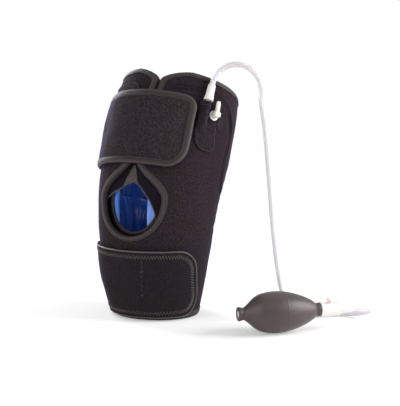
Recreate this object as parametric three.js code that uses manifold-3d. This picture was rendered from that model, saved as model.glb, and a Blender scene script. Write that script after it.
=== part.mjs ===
// A cold compression wrap for the knee, standing on its lower rim, with its hand pump beside it.
// Millimetres, +Z up. The front of the wrap faces -Y and its inner side faces +X.
// The soft layers are grids on one curved form, so that every layer keeps its distance from the next.
import * as THREE from 'three';
import { mergeVertices } from 'three/addons/utils/BufferGeometryUtils.js';
import Module from 'manifold-3d';

const wasm = await Module();
wasm.setup();

// Form of the wrap: its middle line stands straight, bends back and goes on straight
const wrapLength = 298;
const bendAngle = 25;
const bendStart = 98;
const bendEnd = 205;
// Half sizes of the outer face at shares of the length, towards the inner side, outer side, front and back
const formShares = [0, 0.055, 0.17, 0.33, 0.49, 0.655, 0.81, 0.94, 1];
const innerHalfWidths = [56, 59, 66, 74.5, 80.5, 85.5, 84, 81, 78];
const outerHalfWidths = [55, 59, 70, 74.5, 76, 79, 83, 80, 76];
const frontHalfDepths = [50, 56, 62, 68.5, 77, 77, 75, 72.5, 70];
const backHalfDepths = [52, 60, 66, 70, 72, 76, 80, 79, 77];

// Layers, from the outside in
const shellThickness = 4;
const bladderThickness = 5;
const bladderEdge = 1.6;
const bladderFront = 47;
const liningThickness = 1.4;
const gelThickness = 9;
const gelEdge = 2.4;
const layerGap = 0.9;
const bladderLowInset = 22;
const bladderHighInset = 18;
const liningEndInset = 10;
const liningOpeningInset = 4;
const gelEndInset = 34;
const gelFront = 20;
const gelBack = 168;
const gelCellsAlong = 4;
const gelCellsRound = 3;

// Front opening, slit and notch, as distances round the wrap and along it
const openingCentre = 3;
const openingMiddle = 143;
const openingHalfWidth = 43.5;
const openingDrop = 38;
const openingRise = 43;
const slitHalfGap = 2;
const slitLean = 10.5;
const notchHalfWidth = 33;
const notchDepth = 26;

// Binding tape
const tapeThickness = 0.8;
const tapeWidth = 8;
const tapeGap = 0.4;
const tapeUnderGap = 0.6;
const strapGap = 0.7;

// Straps
const strapHingeAngle = -72;
const upperStrapBelowRim = 34;
const upperStrapHeight = 88;
const upperStrapThickness = 3;
const upperStrapReach = 66;
const upperLowCorner = 24;
const upperHighCorner = 16;
const lowerStrapBottom = 3;
const lowerStrapHeight = 87;
const lowerStrapThickness = 3;
const lowerStrapReach = 90;
const lowerLowCorner = 34;
const lowerHighCorner = 26;
const strapFoldTaper = 0.9;
const strapFoldLength = 6;
const hookThickness = 1;
const hookLength = 34;
const upperHookEndInset = 11;
const upperHookLowInset = 17;
const upperHookHighInset = 13;
const lowerHookEndInset = 15;
const lowerHookLowInset = 23;
const lowerHookHighInset = 23;
const loopPanelThickness = 0.7;
const loopPanelBelowRim = 19;
const loopPanelReach = -11;
const loopPanelCorner = 16;
const loopPanelCover = 12;
const loopPanelAboveOpening = 2;
const anchorThickness = 3.4;
const anchorSetback = 7.5;
const anchorWidth = 15;
const anchorEndInset = 2;
const lowerAnchorLowInset = 11;
const strapTapeSetback = 7;

// Pocket for the ports
const pocketBelowRim = 34.5;
const pocketHeight = 62;
const pocketLeft = 69.5;
const pocketWidth = 28;
const pocketSkew = 8;
const pocketThickness = 1.4;
const pocketCorner = 13;
const pocketBulgeHalfWidth = 8;
const pocketBulgeBelowInlet = 16;
const pocketBulgeRise = 22;
const pocketHem = 0.4;

// Ports
const inletArc = 77.5;
const inletBelowRim = 62;
const inletTubeRadius = 2.9;
const inletTubeLift = 6.3;
const inletTubeReach = 39;
const elbowArc = 92;
const elbowBelowRim = 48;
const flangeRadius = 6.4;
const flangeThickness = 1.4;
const stemRadius = 2.3;
const hubRadius = 4.6;
const hubHeight = 9;
const barbRadius = 2.5;
const barbLength = 13;
const runningGap = 0.3;

// Hose and its cuff
const hoseDiameter = 7.2;
const cuffLength = 22;
const cuffMouthRadius = 6;
const cuffTopRadius = 4.9;
const sealLength = 4;

// Bulb, lying on the floor, with its air intake at the near end and the valve at the far end
const bulbLength = 104;
const bulbRadius = 25.2;
const bulbWall = 3;
const intakeNeckRadius = 7.4;
const intakeBore = 4.2;
const outletNeckRadius = 8.6;
const outletBore = 5.4;
const bulbHeading = 45;
const bulbTail = new THREE.Vector3(153, -60, 0);
const valveBodyRadius = 8;
const valveBodyLength = 24;
const valveBore = 1.4;
const buttonRadius = 4.6;
const buttonTravel = 2;
const springWire = 0.5;
const springTurns = 5;

// The floor touches the underside of the tape on the lower rim
const floorLevel = -(tapeGap + tapeThickness);

const solids = new THREE.Group();
const colours = {
  fabric: new THREE.MeshStandardMaterial({ color: 0x2c272b, roughness: 0.9, metalness: 0 }),
  tape: new THREE.MeshStandardMaterial({ color: 0x463f41, roughness: 0.85, metalness: 0 }),
  hook: new THREE.MeshStandardMaterial({ color: 0x1c1a1d, roughness: 0.95, metalness: 0 }),
  lining: new THREE.MeshStandardMaterial({ color: 0x26232a, roughness: 0.9, metalness: 0 }),
  film: new THREE.MeshStandardMaterial({ color: 0x5c6470, roughness: 0.4, metalness: 0 }),
  gel: new THREE.MeshStandardMaterial({ color: 0x4f7fd0, roughness: 0.2, metalness: 0 }),
  plastic: new THREE.MeshStandardMaterial({ color: 0xf4f1ee, roughness: 0.35, metalness: 0 }),
  hose: new THREE.MeshStandardMaterial({ color: 0xe6e2e4, roughness: 0.3, metalness: 0 }),
  rubber: new THREE.MeshStandardMaterial({ color: 0x383335, roughness: 0.5, metalness: 0 }),
  seal: new THREE.MeshStandardMaterial({ color: 0x2a2a2c, roughness: 0.6, metalness: 0 }),
  steel: new THREE.MeshStandardMaterial({ color: 0xb9bcc0, roughness: 0.25, metalness: 1 }),
};

// Middle line of the wrap: its place and its lean at a distance along it
function middleLine(along) {
  const turn = THREE.MathUtils.degToRad(bendAngle);
  const radius = (bendEnd - bendStart) / turn;
  const share = THREE.MathUtils.clamp((along - bendStart) / (bendEnd - bendStart), 0, 1);
  const lean = share * turn;
  const beyond = Math.max(along - bendEnd, 0);
  const y = radius * (1 - Math.cos(lean)) + beyond * Math.sin(lean);
  const z = Math.min(along, bendStart) + radius * Math.sin(lean) + beyond * Math.cos(lean);
  return { y, z, lean };
}

// Smooth curve through values that are given at shares of the length
function smoothValue(values, along) {
  const share = THREE.MathUtils.clamp(along / wrapLength, -0.02, 1.02);
  const last = formShares.length - 1;
  let i = 0;
  while (i < last - 1 && share > formShares[i + 1]) i += 1;
  const slope = (k) => {
    const before = Math.max(k - 1, 0);
    const after = Math.min(k + 1, last);
    return (values[after] - values[before]) / (formShares[after] - formShares[before]);
  };
  const step = formShares[i + 1] - formShares[i];
  const t = (share - formShares[i]) / step;
  const low = values[i] * (2 * t ** 3 - 3 * t ** 2 + 1) + slope(i) * step * (t ** 3 - 2 * t ** 2 + t);
  const high = values[i + 1] * (3 * t ** 2 - 2 * t ** 3) + slope(i + 1) * step * (t ** 3 - t ** 2);
  return low + high;
}

// Point on the form: angle from the front line towards +X, distance along, lift off the outer face
function formPoint(angle, along, lift) {
  const { y, z, lean } = middleLine(along);
  const side = Math.sin(angle);
  const front = Math.cos(angle);
  const halfWidth = smoothValue(side > 0 ? innerHalfWidths : outerHalfWidths, along);
  const halfDepth = smoothValue(front > 0 ? frontHalfDepths : backHalfDepths, along);
  const across = (halfWidth + lift) * side;
  const forward = (halfDepth + lift) * front;
  return new THREE.Vector3(across, y - forward * Math.cos(lean), z + forward * Math.sin(lean));
}

function meanRadius(along) {
  const all = [innerHalfWidths, outerHalfWidths, frontHalfDepths, backHalfDepths];
  return all.reduce((sum, values) => sum + smoothValue(values, along), 0) / all.length;
}

// The same point by its distance round the wrap from the front line
function wrapPoint(around, along, lift) {
  return formPoint(around / meanRadius(along), along, lift);
}

// Directions at a point of the form: round it, along it and off it, with millimetres per radian round it
function formFrame(angle, along, lift) {
  const small = 0.005;
  const origin = formPoint(angle, along, lift);
  const round = formPoint(angle + small, along, lift).sub(formPoint(angle - small, along, lift));
  const up = formPoint(angle, along + small, lift).sub(formPoint(angle, along - small, lift));
  const roundScale = round.length() / (2 * small);
  const upScale = up.length() / (2 * small);
  const off = new THREE.Vector3().crossVectors(round, up).normalize();
  return { origin, round: round.normalize(), up: up.normalize(), off, roundScale, upScale };
}

function wrapFrame(around, along, lift) {
  return formFrame(around / meanRadius(along), along, lift);
}

function spread(from, to, steps) {
  return Array.from({ length: steps + 1 }, (_, i) => from + ((to - from) * i) / steps);
}

// Closed body from points and triangles, with equal points joined and its faces turned outwards
function closedBody(points, triangles) {
  const raw = new THREE.BufferGeometry();
  raw.setAttribute('position', new THREE.Float32BufferAttribute(points.flatMap((p) => p.toArray()), 3));
  raw.setIndex(triangles.flat());
  return tidyBody(raw);
}

function tidyBody(geometry) {
  geometry.deleteAttribute('normal');
  geometry.deleteAttribute('uv');
  const joined = mergeVertices(geometry, 1e-3);
  const place = joined.getAttribute('position');
  const faces = [];
  let volume = 0;
  const a = new THREE.Vector3();
  const b = new THREE.Vector3();
  const c = new THREE.Vector3();
  for (let i = 0; i < joined.index.count; i += 3) {
    const face = [0, 1, 2].map((k) => joined.index.getX(i + k));
    if (face[0] !== face[1] && face[1] !== face[2] && face[2] !== face[0]) {
      faces.push(face);
      a.fromBufferAttribute(place, face[0]);
      b.fromBufferAttribute(place, face[1]);
      c.fromBufferAttribute(place, face[2]);
      volume += a.dot(b.cross(c));
    }
  }
  joined.setIndex((volume < 0 ? faces.map(([p, q, r]) => [p, r, q]) : faces).flat());
  return joined;
}

function toManifold(geometry) {
  const vertProperties = new Float32Array(geometry.getAttribute('position').array);
  const triVerts = new Uint32Array(geometry.index.array);
  return new wasm.Manifold(new wasm.Mesh({ numProp: 3, vertProperties, triVerts }));
}

function fromManifold(manifold) {
  const mesh = manifold.getMesh();
  const geometry = new THREE.BufferGeometry();
  geometry.setAttribute('position', new THREE.BufferAttribute(new Float32Array(mesh.vertProperties), 3));
  geometry.setIndex(new THREE.BufferAttribute(new Uint32Array(mesh.triVerts), 1));
  return geometry;
}

function cutFrom(geometry, ...tools) {
  return fromManifold(tools.reduce((left, tool) => left.subtract(toManifold(tool)), toManifold(geometry)));
}

function joinedWith(geometry, ...others) {
  return fromManifold(others.reduce((sum, other) => sum.add(toManifold(other)), toManifold(geometry)));
}

function addPart(name, geometry, material, placing) {
  const mesh = new THREE.Mesh(geometry, colours[material]);
  mesh.name = name;
  if (placing) mesh.applyMatrix4(placing);
  solids.add(mesh);
  return mesh;
}

// Layer between two lifts on a grid: rows go along the wrap, columns round it
function layer({ rows, columns, place, closed = false }) {
  const points = [];
  const count = columns.length;
  for (const side of ['outer', 'inner']) {
    rows.forEach((along, i) => columns.forEach((column, j) => points.push(place(along, column, side, i, j))));
  }
  const half = rows.length * count;
  const at = (i, j, inner) => (inner ? half : 0) + i * count + (j % count);
  const spans = closed ? count : count - 1;
  const faces = [];
  const quad = (a, b, c, d) => faces.push([a, b, c], [a, c, d]);
  for (let j = 0; j < spans; j += 1) {
    for (let i = 0; i < rows.length - 1; i += 1) {
      quad(at(i, j), at(i, j + 1), at(i + 1, j + 1), at(i + 1, j));
      quad(at(i, j, true), at(i + 1, j, true), at(i + 1, j + 1, true), at(i, j + 1, true));
    }
    const top = rows.length - 1;
    quad(at(0, j + 1), at(0, j), at(0, j, true), at(0, j + 1, true));
    quad(at(top, j), at(top, j + 1), at(top, j + 1, true), at(top, j, true));
  }
  if (!closed) {
    for (let i = 0; i < rows.length - 1; i += 1) {
      quad(at(i, 0), at(i + 1, 0), at(i + 1, 0, true), at(i, 0, true));
      quad(at(i + 1, spans), at(i, spans), at(i, spans, true), at(i + 1, spans, true));
    }
  }
  return closedBody(points, faces);
}

// Solid of a section that is carried along a line of rings, joined to itself or capped at both ends
function carried(rings, closed) {
  const size = rings[0].length;
  const points = rings.flat();
  const faces = [];
  const last = closed ? rings.length : rings.length - 1;
  for (let k = 0; k < last; k += 1) {
    const next = (k + 1) % rings.length;
    for (let i = 0; i < size; i += 1) {
      const j = (i + 1) % size;
      faces.push([k * size + i, k * size + j, next * size + j], [k * size + i, next * size + j, next * size + i]);
    }
  }
  if (!closed) {
    const flat = rings[0].map((p, i) => capPoint(rings[0], i));
    const cap = THREE.ShapeUtils.triangulateShape(flat, []);
    const shift = (rings.length - 1) * size;
    cap.forEach(([a, b, c]) => faces.push([a, c, b], [shift + a, shift + b, shift + c]));
  }
  return closedBody(points, faces);
}

// Flat coordinates of a ring's point, for filling an end
function capPoint(ring, index) {
  const origin = ring[0];
  const across = ring[1].clone().sub(origin).normalize();
  let normal = new THREE.Vector3();
  ring.forEach((p, i) => normal.add(new THREE.Vector3().crossVectors(p, ring[(i + 1) % ring.length])));
  normal = normal.normalize();
  const upward = new THREE.Vector3().crossVectors(normal, across);
  const from = ring[index].clone().sub(origin);
  return new THREE.Vector2(from.dot(across), from.dot(upward));
}

// Binding tape folded over the edge of a fabric that lies on the left of the path
function edgeTape(path, closed, outerLift, innerLift) {
  const over = outerLift + tapeGap;
  const under = innerLift - tapeUnderGap;
  const edge = -tapeGap;
  const soft = tapeThickness * 0.6;
  const section = [
    [tapeWidth, over],
    [tapeWidth, over + tapeThickness],
    [edge, over + tapeThickness],
    [edge - tapeThickness, over - soft],
    [edge - tapeThickness, under - tapeThickness],
    [tapeWidth, under - tapeThickness],
    [tapeWidth, under],
    [edge, under],
    [edge, over],
  ];
  const line = path.map(({ around, along }) => ({ angle: around / meanRadius(along), along }));
  const last = line.length - 1;
  const rings = line.map((here, k) => {
    const before = closed ? line[(k + last) % line.length] : line[Math.max(k - 1, 0)];
    const after = closed ? line[(k + 1) % line.length] : line[Math.min(k + 1, last)];
    const { roundScale, upScale } = formFrame(here.angle, here.along, outerLift);
    const turn = after.angle - before.angle;
    const shortTurn = turn - 2 * Math.PI * Math.round(turn / (2 * Math.PI));
    const ahead = new THREE.Vector2(shortTurn * roundScale, (after.along - before.along) * upScale).normalize();
    return section.map(([inward, lift]) => {
      const angle = here.angle - (ahead.y * inward) / roundScale;
      return formPoint(angle, here.along + (ahead.x * inward) / upScale, lift);
    });
  });
  return carried(rings, closed);
}

// Plug through the wall with a given outline, in steps from far outside to far inside
function wallPlug(outline) {
  const lifts = [30, 1, -shellThickness - 1, -14, -40];
  const flat = outline.map(({ around, along }) => new THREE.Vector2(around, along));
  const cap = THREE.ShapeUtils.triangulateShape(flat, []);
  const count = outline.length;
  const last = (lifts.length - 1) * count;
  const points = lifts.flatMap((lift) => outline.map((p) => wrapPoint(p.around, p.along, lift)));
  const faces = cap.flatMap(([a, b, c]) => [[a, b, c], [last + a, last + c, last + b]]);
  for (let k = 0; k < last; k += count) {
    for (let i = 0; i < count; i += 1) {
      const j = (i + 1) % count;
      faces.push([k + j, k + i, k + count + i], [k + j, k + count + i, k + count + j]);
    }
  }
  return closedBody(points, faces);
}

// Solid of revolution whose profile gives radius and height, with height along the placed +Y
function turned(profile, sides) {
  const points = profile.map(([radius, height]) => new THREE.Vector2(radius, height));
  return tidyBody(new THREE.LatheGeometry(points, sides));
}

function ringProfile(inner, outer, low, high) {
  return [[inner, low], [outer, low], [outer, high], [inner, high], [inner, low]];
}

function rodProfile(radius, low, high) {
  return [[0, low], [radius, low], [radius, high], [0, high]];
}

// Placing that puts the local origin at a point, with +Y along one direction and +Z near another
function placing(origin, along, near) {
  const y = along.clone().normalize();
  const x = new THREE.Vector3().crossVectors(y, near).normalize();
  const z = new THREE.Vector3().crossVectors(x, y);
  return new THREE.Matrix4().makeBasis(x, y, z).setPosition(origin);
}

function moved(geometry, x, y, z) {
  const copy = geometry.clone();
  copy.translate(x, y, z);
  return copy;
}

// Round section carried along a curve
function roundTube(curve, radius, sides, steps) {
  const section = new THREE.Shape();
  for (let i = 0; i < sides; i += 1) {
    const angle = (2 * Math.PI * i) / sides;
    const x = radius * Math.cos(angle);
    const y = radius * Math.sin(angle);
    if (i === 0) section.moveTo(x, y);
    else section.lineTo(x, y);
  }
  section.closePath();
  return tidyBody(new THREE.ExtrudeGeometry(section, { steps, bevelEnabled: false, extrudePath: curve }));
}

// Middle line of the slit: it leans towards the inner side on its way up
function slitCentre(along) {
  const share = Math.max(along - openingMiddle, 0) / (wrapLength - openingMiddle);
  return openingCentre + slitLean * share;
}

// Half width of the opening above its middle, down to the slit's half gap
function openingHalf(along) {
  const share = THREE.MathUtils.clamp((along - openingMiddle) / openingRise, 0, 1);
  const blend = (0.5 + 0.5 * Math.cos(Math.PI * share)) ** 1.2;
  return slitHalfGap + (openingHalfWidth - slitHalfGap) * blend;
}

// One side of the cut edge, from the rim down to the opening's widest place
function cutSide(side, inset, grow) {
  const notchFoot = wrapLength - notchDepth;
  const points = [];
  for (const turn of spread(74, 8, 4)) {
    const angle = THREE.MathUtils.degToRad(turn);
    const along = notchFoot + (notchDepth + 1) * Math.sin(angle);
    const half = slitHalfGap + (notchHalfWidth - slitHalfGap) * (1 - Math.cos(angle));
    points.push({ around: slitCentre(along) + side * (half - grow), along });
  }
  const slitFoot = openingMiddle + openingRise;
  for (const along of spread(notchFoot - 2, slitFoot, 4)) {
    points.push({ around: slitCentre(along) + side * (slitHalfGap - grow), along });
  }
  for (const along of spread(slitFoot, openingMiddle, 7).slice(1)) {
    const half = Math.max(openingHalf(along) - inset, slitHalfGap) - grow;
    points.push({ around: slitCentre(along) + side * half, along });
  }
  return points;
}

function openingFloor(inset, steps) {
  const points = [];
  for (const turn of spread(0, -Math.PI, steps).slice(1, -1)) {
    const around = openingCentre + (openingHalfWidth - inset) * Math.cos(turn);
    points.push({ around, along: openingMiddle + (openingDrop - inset) * Math.sin(turn) });
  }
  return points;
}

// Whole cut edge from the right side of the notch, down, round the opening and up again
function cutEdge(inset) {
  const right = cutSide(1, inset, 0);
  const left = cutSide(-1, inset, 0).reverse();
  return [...right, ...openingFloor(inset, 12), ...left];
}

// Stations of the rim between the two ends of the notch, going round the back
const frontFan = 60;
const tubeColumns = [
  ...spread(-frontFan, frontFan, 16),
  ...spread(frontFan, 360 - frontFan, 20).slice(1, -1),
].map(THREE.MathUtils.degToRad);
const tubeRows = [
  ...spread(0, tapeWidth + 1, 1),
  ...spread(28, bendStart, 3),
  ...spread(bendStart, bendEnd, 5).slice(1),
  ...spread(bendEnd, wrapLength - tapeWidth - 1, 3).slice(1),
  wrapLength,
];

// The common rows that lie between two heights, with those heights as the ends
function rowsBetween(low, high) {
  return [low, ...tubeRows.filter((along) => along > low + 4 && along < high - 4), high];
}

function notchPlug(inset) {
  const edge = cutEdge(inset);
  const first = edge[0];
  const last = edge[edge.length - 1];
  const above = wrapLength + 12;
  const outline = [
    { around: last.around, along: above },
    ...edge.slice().reverse(),
    { around: first.around, along: above },
  ];
  return wallPlug(outline);
}

const portHoles = [
  { around: inletArc, along: wrapLength - inletBelowRim },
  { around: elbowArc, along: wrapLength - elbowBelowRim },
];

function portDrill({ around, along }, radius) {
  const { origin, off, up } = wrapFrame(around, along, 0);
  const drill = turned(rodProfile(radius, -12, 8), 12);
  return drill.applyMatrix4(placing(origin, off, up));
}

// Outer shell of foam fabric
function buildShell() {
  const tube = layer({
    rows: tubeRows,
    columns: tubeColumns,
    closed: true,
    place: (along, angle, side) => formPoint(angle, along, side === 'outer' ? 0 : -shellThickness),
  });
  const drills = portHoles.map((hole) => portDrill(hole, stemRadius + runningGap + 0.3));
  addPart('outer_shell', cutFrom(tube, notchPlug(0), ...drills), 'fabric');
}

// Binding over the top rim, the notch, the slit and the opening in one run, and over the bottom rim
function buildRimTapes() {
  const edge = cutEdge(0);
  const radius = meanRadius(wrapLength);
  const first = edge[0];
  const last = edge[edge.length - 1];
  const turn = 2 * Math.PI * radius;
  const rim = tubeColumns
    .map((angle) => (angle * radius + turn) % turn)
    .sort((one, other) => other - one)
    .filter((around) => around > first.around + 3 && around < turn + last.around - 3)
    .map((around) => ({ around: around - turn, along: wrapLength }));
  const path = [{ around: first.around, along: wrapLength }, ...edge.slice(1)];
  path[path.length - 1] = { around: last.around, along: wrapLength };
  addPart('opening_binding', edgeTape([...path, ...rim], true, 0, -shellThickness), 'tape');
  const bottomRadius = meanRadius(0);
  const foot = tubeColumns.map((angle) => ({ around: angle * bottomRadius, along: 0 }));
  addPart('bottom_binding', edgeTape(foot, true, 0, -shellThickness), 'tape');
}

const bladderLow = bladderLowInset;
const bladderHigh = wrapLength - bladderHighInset;
const gelLow = gelEndInset;
const gelHigh = wrapLength - gelEndInset;

function hump(share, power) {
  return Math.max(Math.sin(Math.PI * THREE.MathUtils.clamp(share, 0, 1)), 0) ** power;
}

function bladderDepth(along) {
  const share = (along - bladderLow) / (bladderHigh - bladderLow);
  return bladderEdge + (bladderThickness - bladderEdge) * hump(share, 0.5);
}

function liningLift(along) {
  const share = (along - bladderLow) / (bladderHigh - bladderLow);
  const filled = share > 0 && share < 1 ? bladderDepth(along) : bladderEdge;
  return -(shellThickness + layerGap + filled + layerGap);
}

// Air bladder, open at the front
function buildBladder() {
  const rows = rowsBetween(bladderLow, bladderHigh);
  const columns = spread(0, 1, 22);
  const geometry = layer({
    rows,
    columns,
    place: (along, share, side) => {
      const depth = bladderEdge + (bladderDepth(along) - bladderEdge) * hump(share, 0.3);
      const lift = -(shellThickness + layerGap) - (side === 'outer' ? 0 : depth);
      const angle = bladderFront + (360 - 2 * bladderFront) * share;
      return formPoint(THREE.MathUtils.degToRad(angle), along, lift);
    },
  });
  addPart('air_bladder', geometry, 'film');
}

// Inner lining that carries the gel packs
function buildLining() {
  const rows = rowsBetween(liningEndInset, wrapLength - liningEndInset);
  const tube = layer({
    rows,
    columns: spread(0, 2 * Math.PI, 28).slice(0, -1),
    closed: true,
    place: (along, angle, side) => {
      const lift = liningLift(along);
      return formPoint(angle, along, side === 'outer' ? lift : lift - liningThickness);
    },
  });
  addPart('inner_lining', cutFrom(tube, notchPlug(liningOpeningInset)), 'lining');
}

// Gel pack of welded cells, on one side of the wrap
function buildGelPack(name, side) {
  const perCell = 3;
  const geometry = layer({
    rows: spread(0, 1, gelCellsAlong * perCell),
    columns: spread(0, 1, gelCellsRound * perCell),
    place: (high, wide, face) => {
      const along = gelLow + (gelHigh - gelLow) * high;
      const angle = THREE.MathUtils.degToRad(gelFront + (gelBack - gelFront) * wide) * side;
      const weld = hump((high * gelCellsAlong) % 1, 0.6) * hump((wide * gelCellsRound) % 1, 0.6);
      const thick = gelEdge + (gelThickness - gelEdge) * weld;
      const lift = liningLift(along) - liningThickness - layerGap;
      return formPoint(angle, along, face === 'outer' ? lift : lift - thick);
    },
  });
  addPart(name, geometry, 'gel');
}

// Outline of a strap's free end: rows with the place where each ends
function strapRows(bottom, top, reach, lowCorner, highCorner) {
  const low = spread(0, 90, 5).map((turn) => {
    const angle = THREE.MathUtils.degToRad(turn);
    const along = bottom + lowCorner * (1 - Math.cos(angle));
    return { along, end: reach - lowCorner * (1 - Math.sin(angle)) };
  });
  const high = spread(0, 90, 4).map((turn) => {
    const angle = THREE.MathUtils.degToRad(turn);
    return { along: top - highCorner * (1 - Math.sin(angle)), end: reach - highCorner * (1 - Math.cos(angle)) };
  });
  const between = spread(low[low.length - 1].along, high[0].along, 4).slice(1, -1);
  return [...low, ...between.map((along) => ({ along, end: reach })), ...high];
}

function hingeArc(along) {
  return THREE.MathUtils.degToRad(strapHingeAngle) * meanRadius(along);
}

function strapPanel(rows, reach, corner, lowLift, thickness) {
  const knee = reach - corner;
  return layer({
    rows,
    columns: [0, 'fold', ...spread(0, 1, 10).slice(1), ...spread(1, 2, 4).slice(1)],
    place: (row, column, side) => {
      const start = hingeArc(row.along);
      const body = column === 'fold' ? start + strapFoldLength : start + (knee - start) * column;
      const around = column > 1 ? knee + (row.end - knee) * (column - 1) : body;
      const under = column === 0 ? lowLift + thickness - strapFoldTaper : lowLift;
      return wrapPoint(around, row.along, side === 'outer' ? lowLift + thickness : under);
    },
  });
}

// Edge of a strap from its fold, along the lower side, round the free end and back
function strapEdge(rows, setback) {
  const low = rows[0];
  const high = rows[rows.length - 1];
  const lowStart = hingeArc(low.along) + setback;
  const highStart = hingeArc(high.along) + setback;
  const steps = 11;
  const lower = spread(lowStart, low.end, steps).map((around) => ({ around, along: low.along }));
  const free = rows.slice(1, -1).map((row) => ({ around: row.end, along: row.along }));
  const upper = spread(high.end, highStart, steps).map((around) => ({ around, along: high.along }));
  return [...lower, ...free, ...upper];
}

function patch(fromArc, toArc, low, high, underLift, overLift) {
  return layer({
    rows: spread(low, high, 5),
    columns: spread(0, 1, 5),
    place: (along, share, side) => {
      const start = typeof fromArc === 'function' ? fromArc(along) : fromArc;
      const end = typeof toArc === 'function' ? toArc(along) : toArc;
      return wrapPoint(start + (end - start) * share, along, side === 'outer' ? overLift : underLift);
    },
  });
}

const upperStrapTop = wrapLength - upperStrapBelowRim;
const upperStrapBottom = upperStrapTop - upperStrapHeight;
const upperStrapLift = tapeGap + 2 * tapeThickness + tapeUnderGap + strapGap;
const lowerStrapLift = tapeGap + tapeThickness + strapGap;

function buildUpperStrap() {
  const rows = strapRows(upperStrapBottom, upperStrapTop, upperStrapReach, upperLowCorner, upperHighCorner);
  const panel = strapPanel(rows, upperStrapReach, upperLowCorner, upperStrapLift, upperStrapThickness);
  addPart('upper_strap_panel', panel, 'fabric');
  const edge = strapEdge(rows, strapTapeSetback);
  const tape = edgeTape(edge, false, upperStrapLift + upperStrapThickness, upperStrapLift);
  addPart('upper_strap_binding', tape, 'tape');
  const end = upperStrapReach - upperHookEndInset;
  const under = upperStrapLift - tapeGap - hookThickness;
  const low = upperStrapBottom + upperHookLowInset;
  const high = upperStrapTop - upperHookHighInset;
  const hook = patch(end - hookLength, end, low, high, under, upperStrapLift - tapeGap);
  addPart('upper_strap_hook', hook, 'hook');
}

function buildLowerStrap() {
  const top = lowerStrapBottom + lowerStrapHeight;
  const rows = strapRows(lowerStrapBottom, top, lowerStrapReach, lowerLowCorner, lowerHighCorner);
  const panel = strapPanel(rows, lowerStrapReach, lowerLowCorner, lowerStrapLift, lowerStrapThickness);
  addPart('lower_strap_panel', panel, 'fabric');
  const end = lowerStrapReach - lowerHookEndInset;
  const low = lowerStrapBottom + lowerHookLowInset;
  const hook = patch(end - hookLength, end, low, top - lowerHookHighInset, tapeGap, lowerStrapLift - tapeGap);
  addPart('lower_strap_hook', hook, 'hook');
}

// Sewn anchor behind each strap's fold
function strapAnchor(name, low, high, thickness) {
  const front = (along) => hingeArc(along) - anchorSetback;
  const back = (along) => front(along) - anchorWidth;
  const geometry = patch(back, front, low, high, tapeGap, tapeGap + thickness);
  addPart(name, geometry, 'fabric');
}

function buildAnchors() {
  const upperHigh = upperStrapTop - anchorEndInset;
  const lowerHigh = lowerStrapBottom + lowerStrapHeight - anchorEndInset;
  strapAnchor('upper_strap_anchor', upperStrapBottom + anchorEndInset, upperHigh, anchorThickness);
  strapAnchor('lower_strap_anchor', lowerStrapBottom + lowerAnchorLowInset, lowerHigh, anchorThickness);
  const top = wrapLength - loopPanelBelowRim;
  const panelLift = tapeGap + 0.1;
  const corner = spread(0, 90, 4).map((turn) => {
    const angle = THREE.MathUtils.degToRad(turn);
    const along = top - loopPanelCorner * (1 - Math.sin(angle));
    return { along, end: loopPanelReach - loopPanelCorner * (1 - Math.cos(angle)) };
  });
  const low = Math.max(upperStrapBottom + loopPanelCover, openingMiddle + openingRise + loopPanelAboveOpening);
  const straight = spread(low, top - loopPanelCorner, 5).slice(0, -1);
  const panel = layer({
    rows: [...straight.map((along) => ({ along, end: loopPanelReach })), ...corner],
    columns: spread(0, 1, 7),
    place: (row, share, side) => {
      const start = hingeArc(row.along) - anchorSetback + 1;
      const lift = side === 'outer' ? panelLift + loopPanelThickness : panelLift;
      return wrapPoint(start + (row.end - start) * share, row.along, lift);
    },
  });
  addPart('loop_panel', panel, 'fabric');
}

// Pocket whose open mouth lets the inlet tube out; it bulges over the tube
const pocketTop = wrapLength - pocketBelowRim;
const pocketBottom = pocketTop - pocketHeight;
const pocketLift = tapeGap;

function pocketOffset(along) {
  return (pocketSkew * (pocketTop - along)) / pocketHeight;
}

function buildPocket() {
  const roundRows = spread(0, 90, 4).map((turn) => {
    const angle = THREE.MathUtils.degToRad(turn);
    return { along: pocketBottom + pocketCorner * (1 - Math.cos(angle)), inset: pocketCorner * (1 - Math.sin(angle)) };
  });
  const straight = spread(roundRows[4].along, pocketTop, 6).slice(1).map((along) => ({ along, inset: 0 }));
  const bulgeFoot = wrapLength - inletBelowRim - pocketBulgeBelowInlet;
  const bulgeHigh = inletTubeLift + inletTubeRadius + 0.6 - pocketLift;
  const offsets = [-8, -6, -4.5, -3, -1.5, 0, 1.5, 3, 4.5, 6, 8];
  const geometry = layer({
    rows: [...roundRows, ...straight],
    columns: ['left', ...offsets, 14, 18, 'right'],
    place: (row, column, side) => {
      const shift = pocketOffset(row.along);
      const left = pocketLeft + shift * 0.4 + row.inset;
      const right = pocketLeft + pocketWidth + shift - row.inset;
      let around = THREE.MathUtils.clamp(inletArc + Number(column), left, right);
      if (column === 'left') around = left - pocketHem;
      if (column === 'right') around = right + pocketHem;
      const rise = THREE.MathUtils.smoothstep(row.along, bulgeFoot, bulgeFoot + pocketBulgeRise);
      const off = Math.min(Math.abs(around - inletArc) / pocketBulgeHalfWidth, 1);
      const bulge = bulgeHigh * rise * Math.cos((Math.PI / 2) * off) ** 1.3;
      return wrapPoint(around, row.along, pocketLift + bulge + (side === 'outer' ? pocketThickness : 0));
    },
  });
  const drill = portDrill(portHoles[1], stemRadius + runningGap + 0.3);
  addPart('valve_pocket', cutFrom(geometry, drill), 'fabric');
}

// Inlet: a flange under the pocket and a tube that turns up and out of the mouth
function inletFrame() {
  const along = wrapLength - inletBelowRim;
  return { foot: wrapFrame(inletArc, along, 0), mouth: wrapFrame(inletArc, along + inletTubeReach, inletTubeLift) };
}

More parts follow.
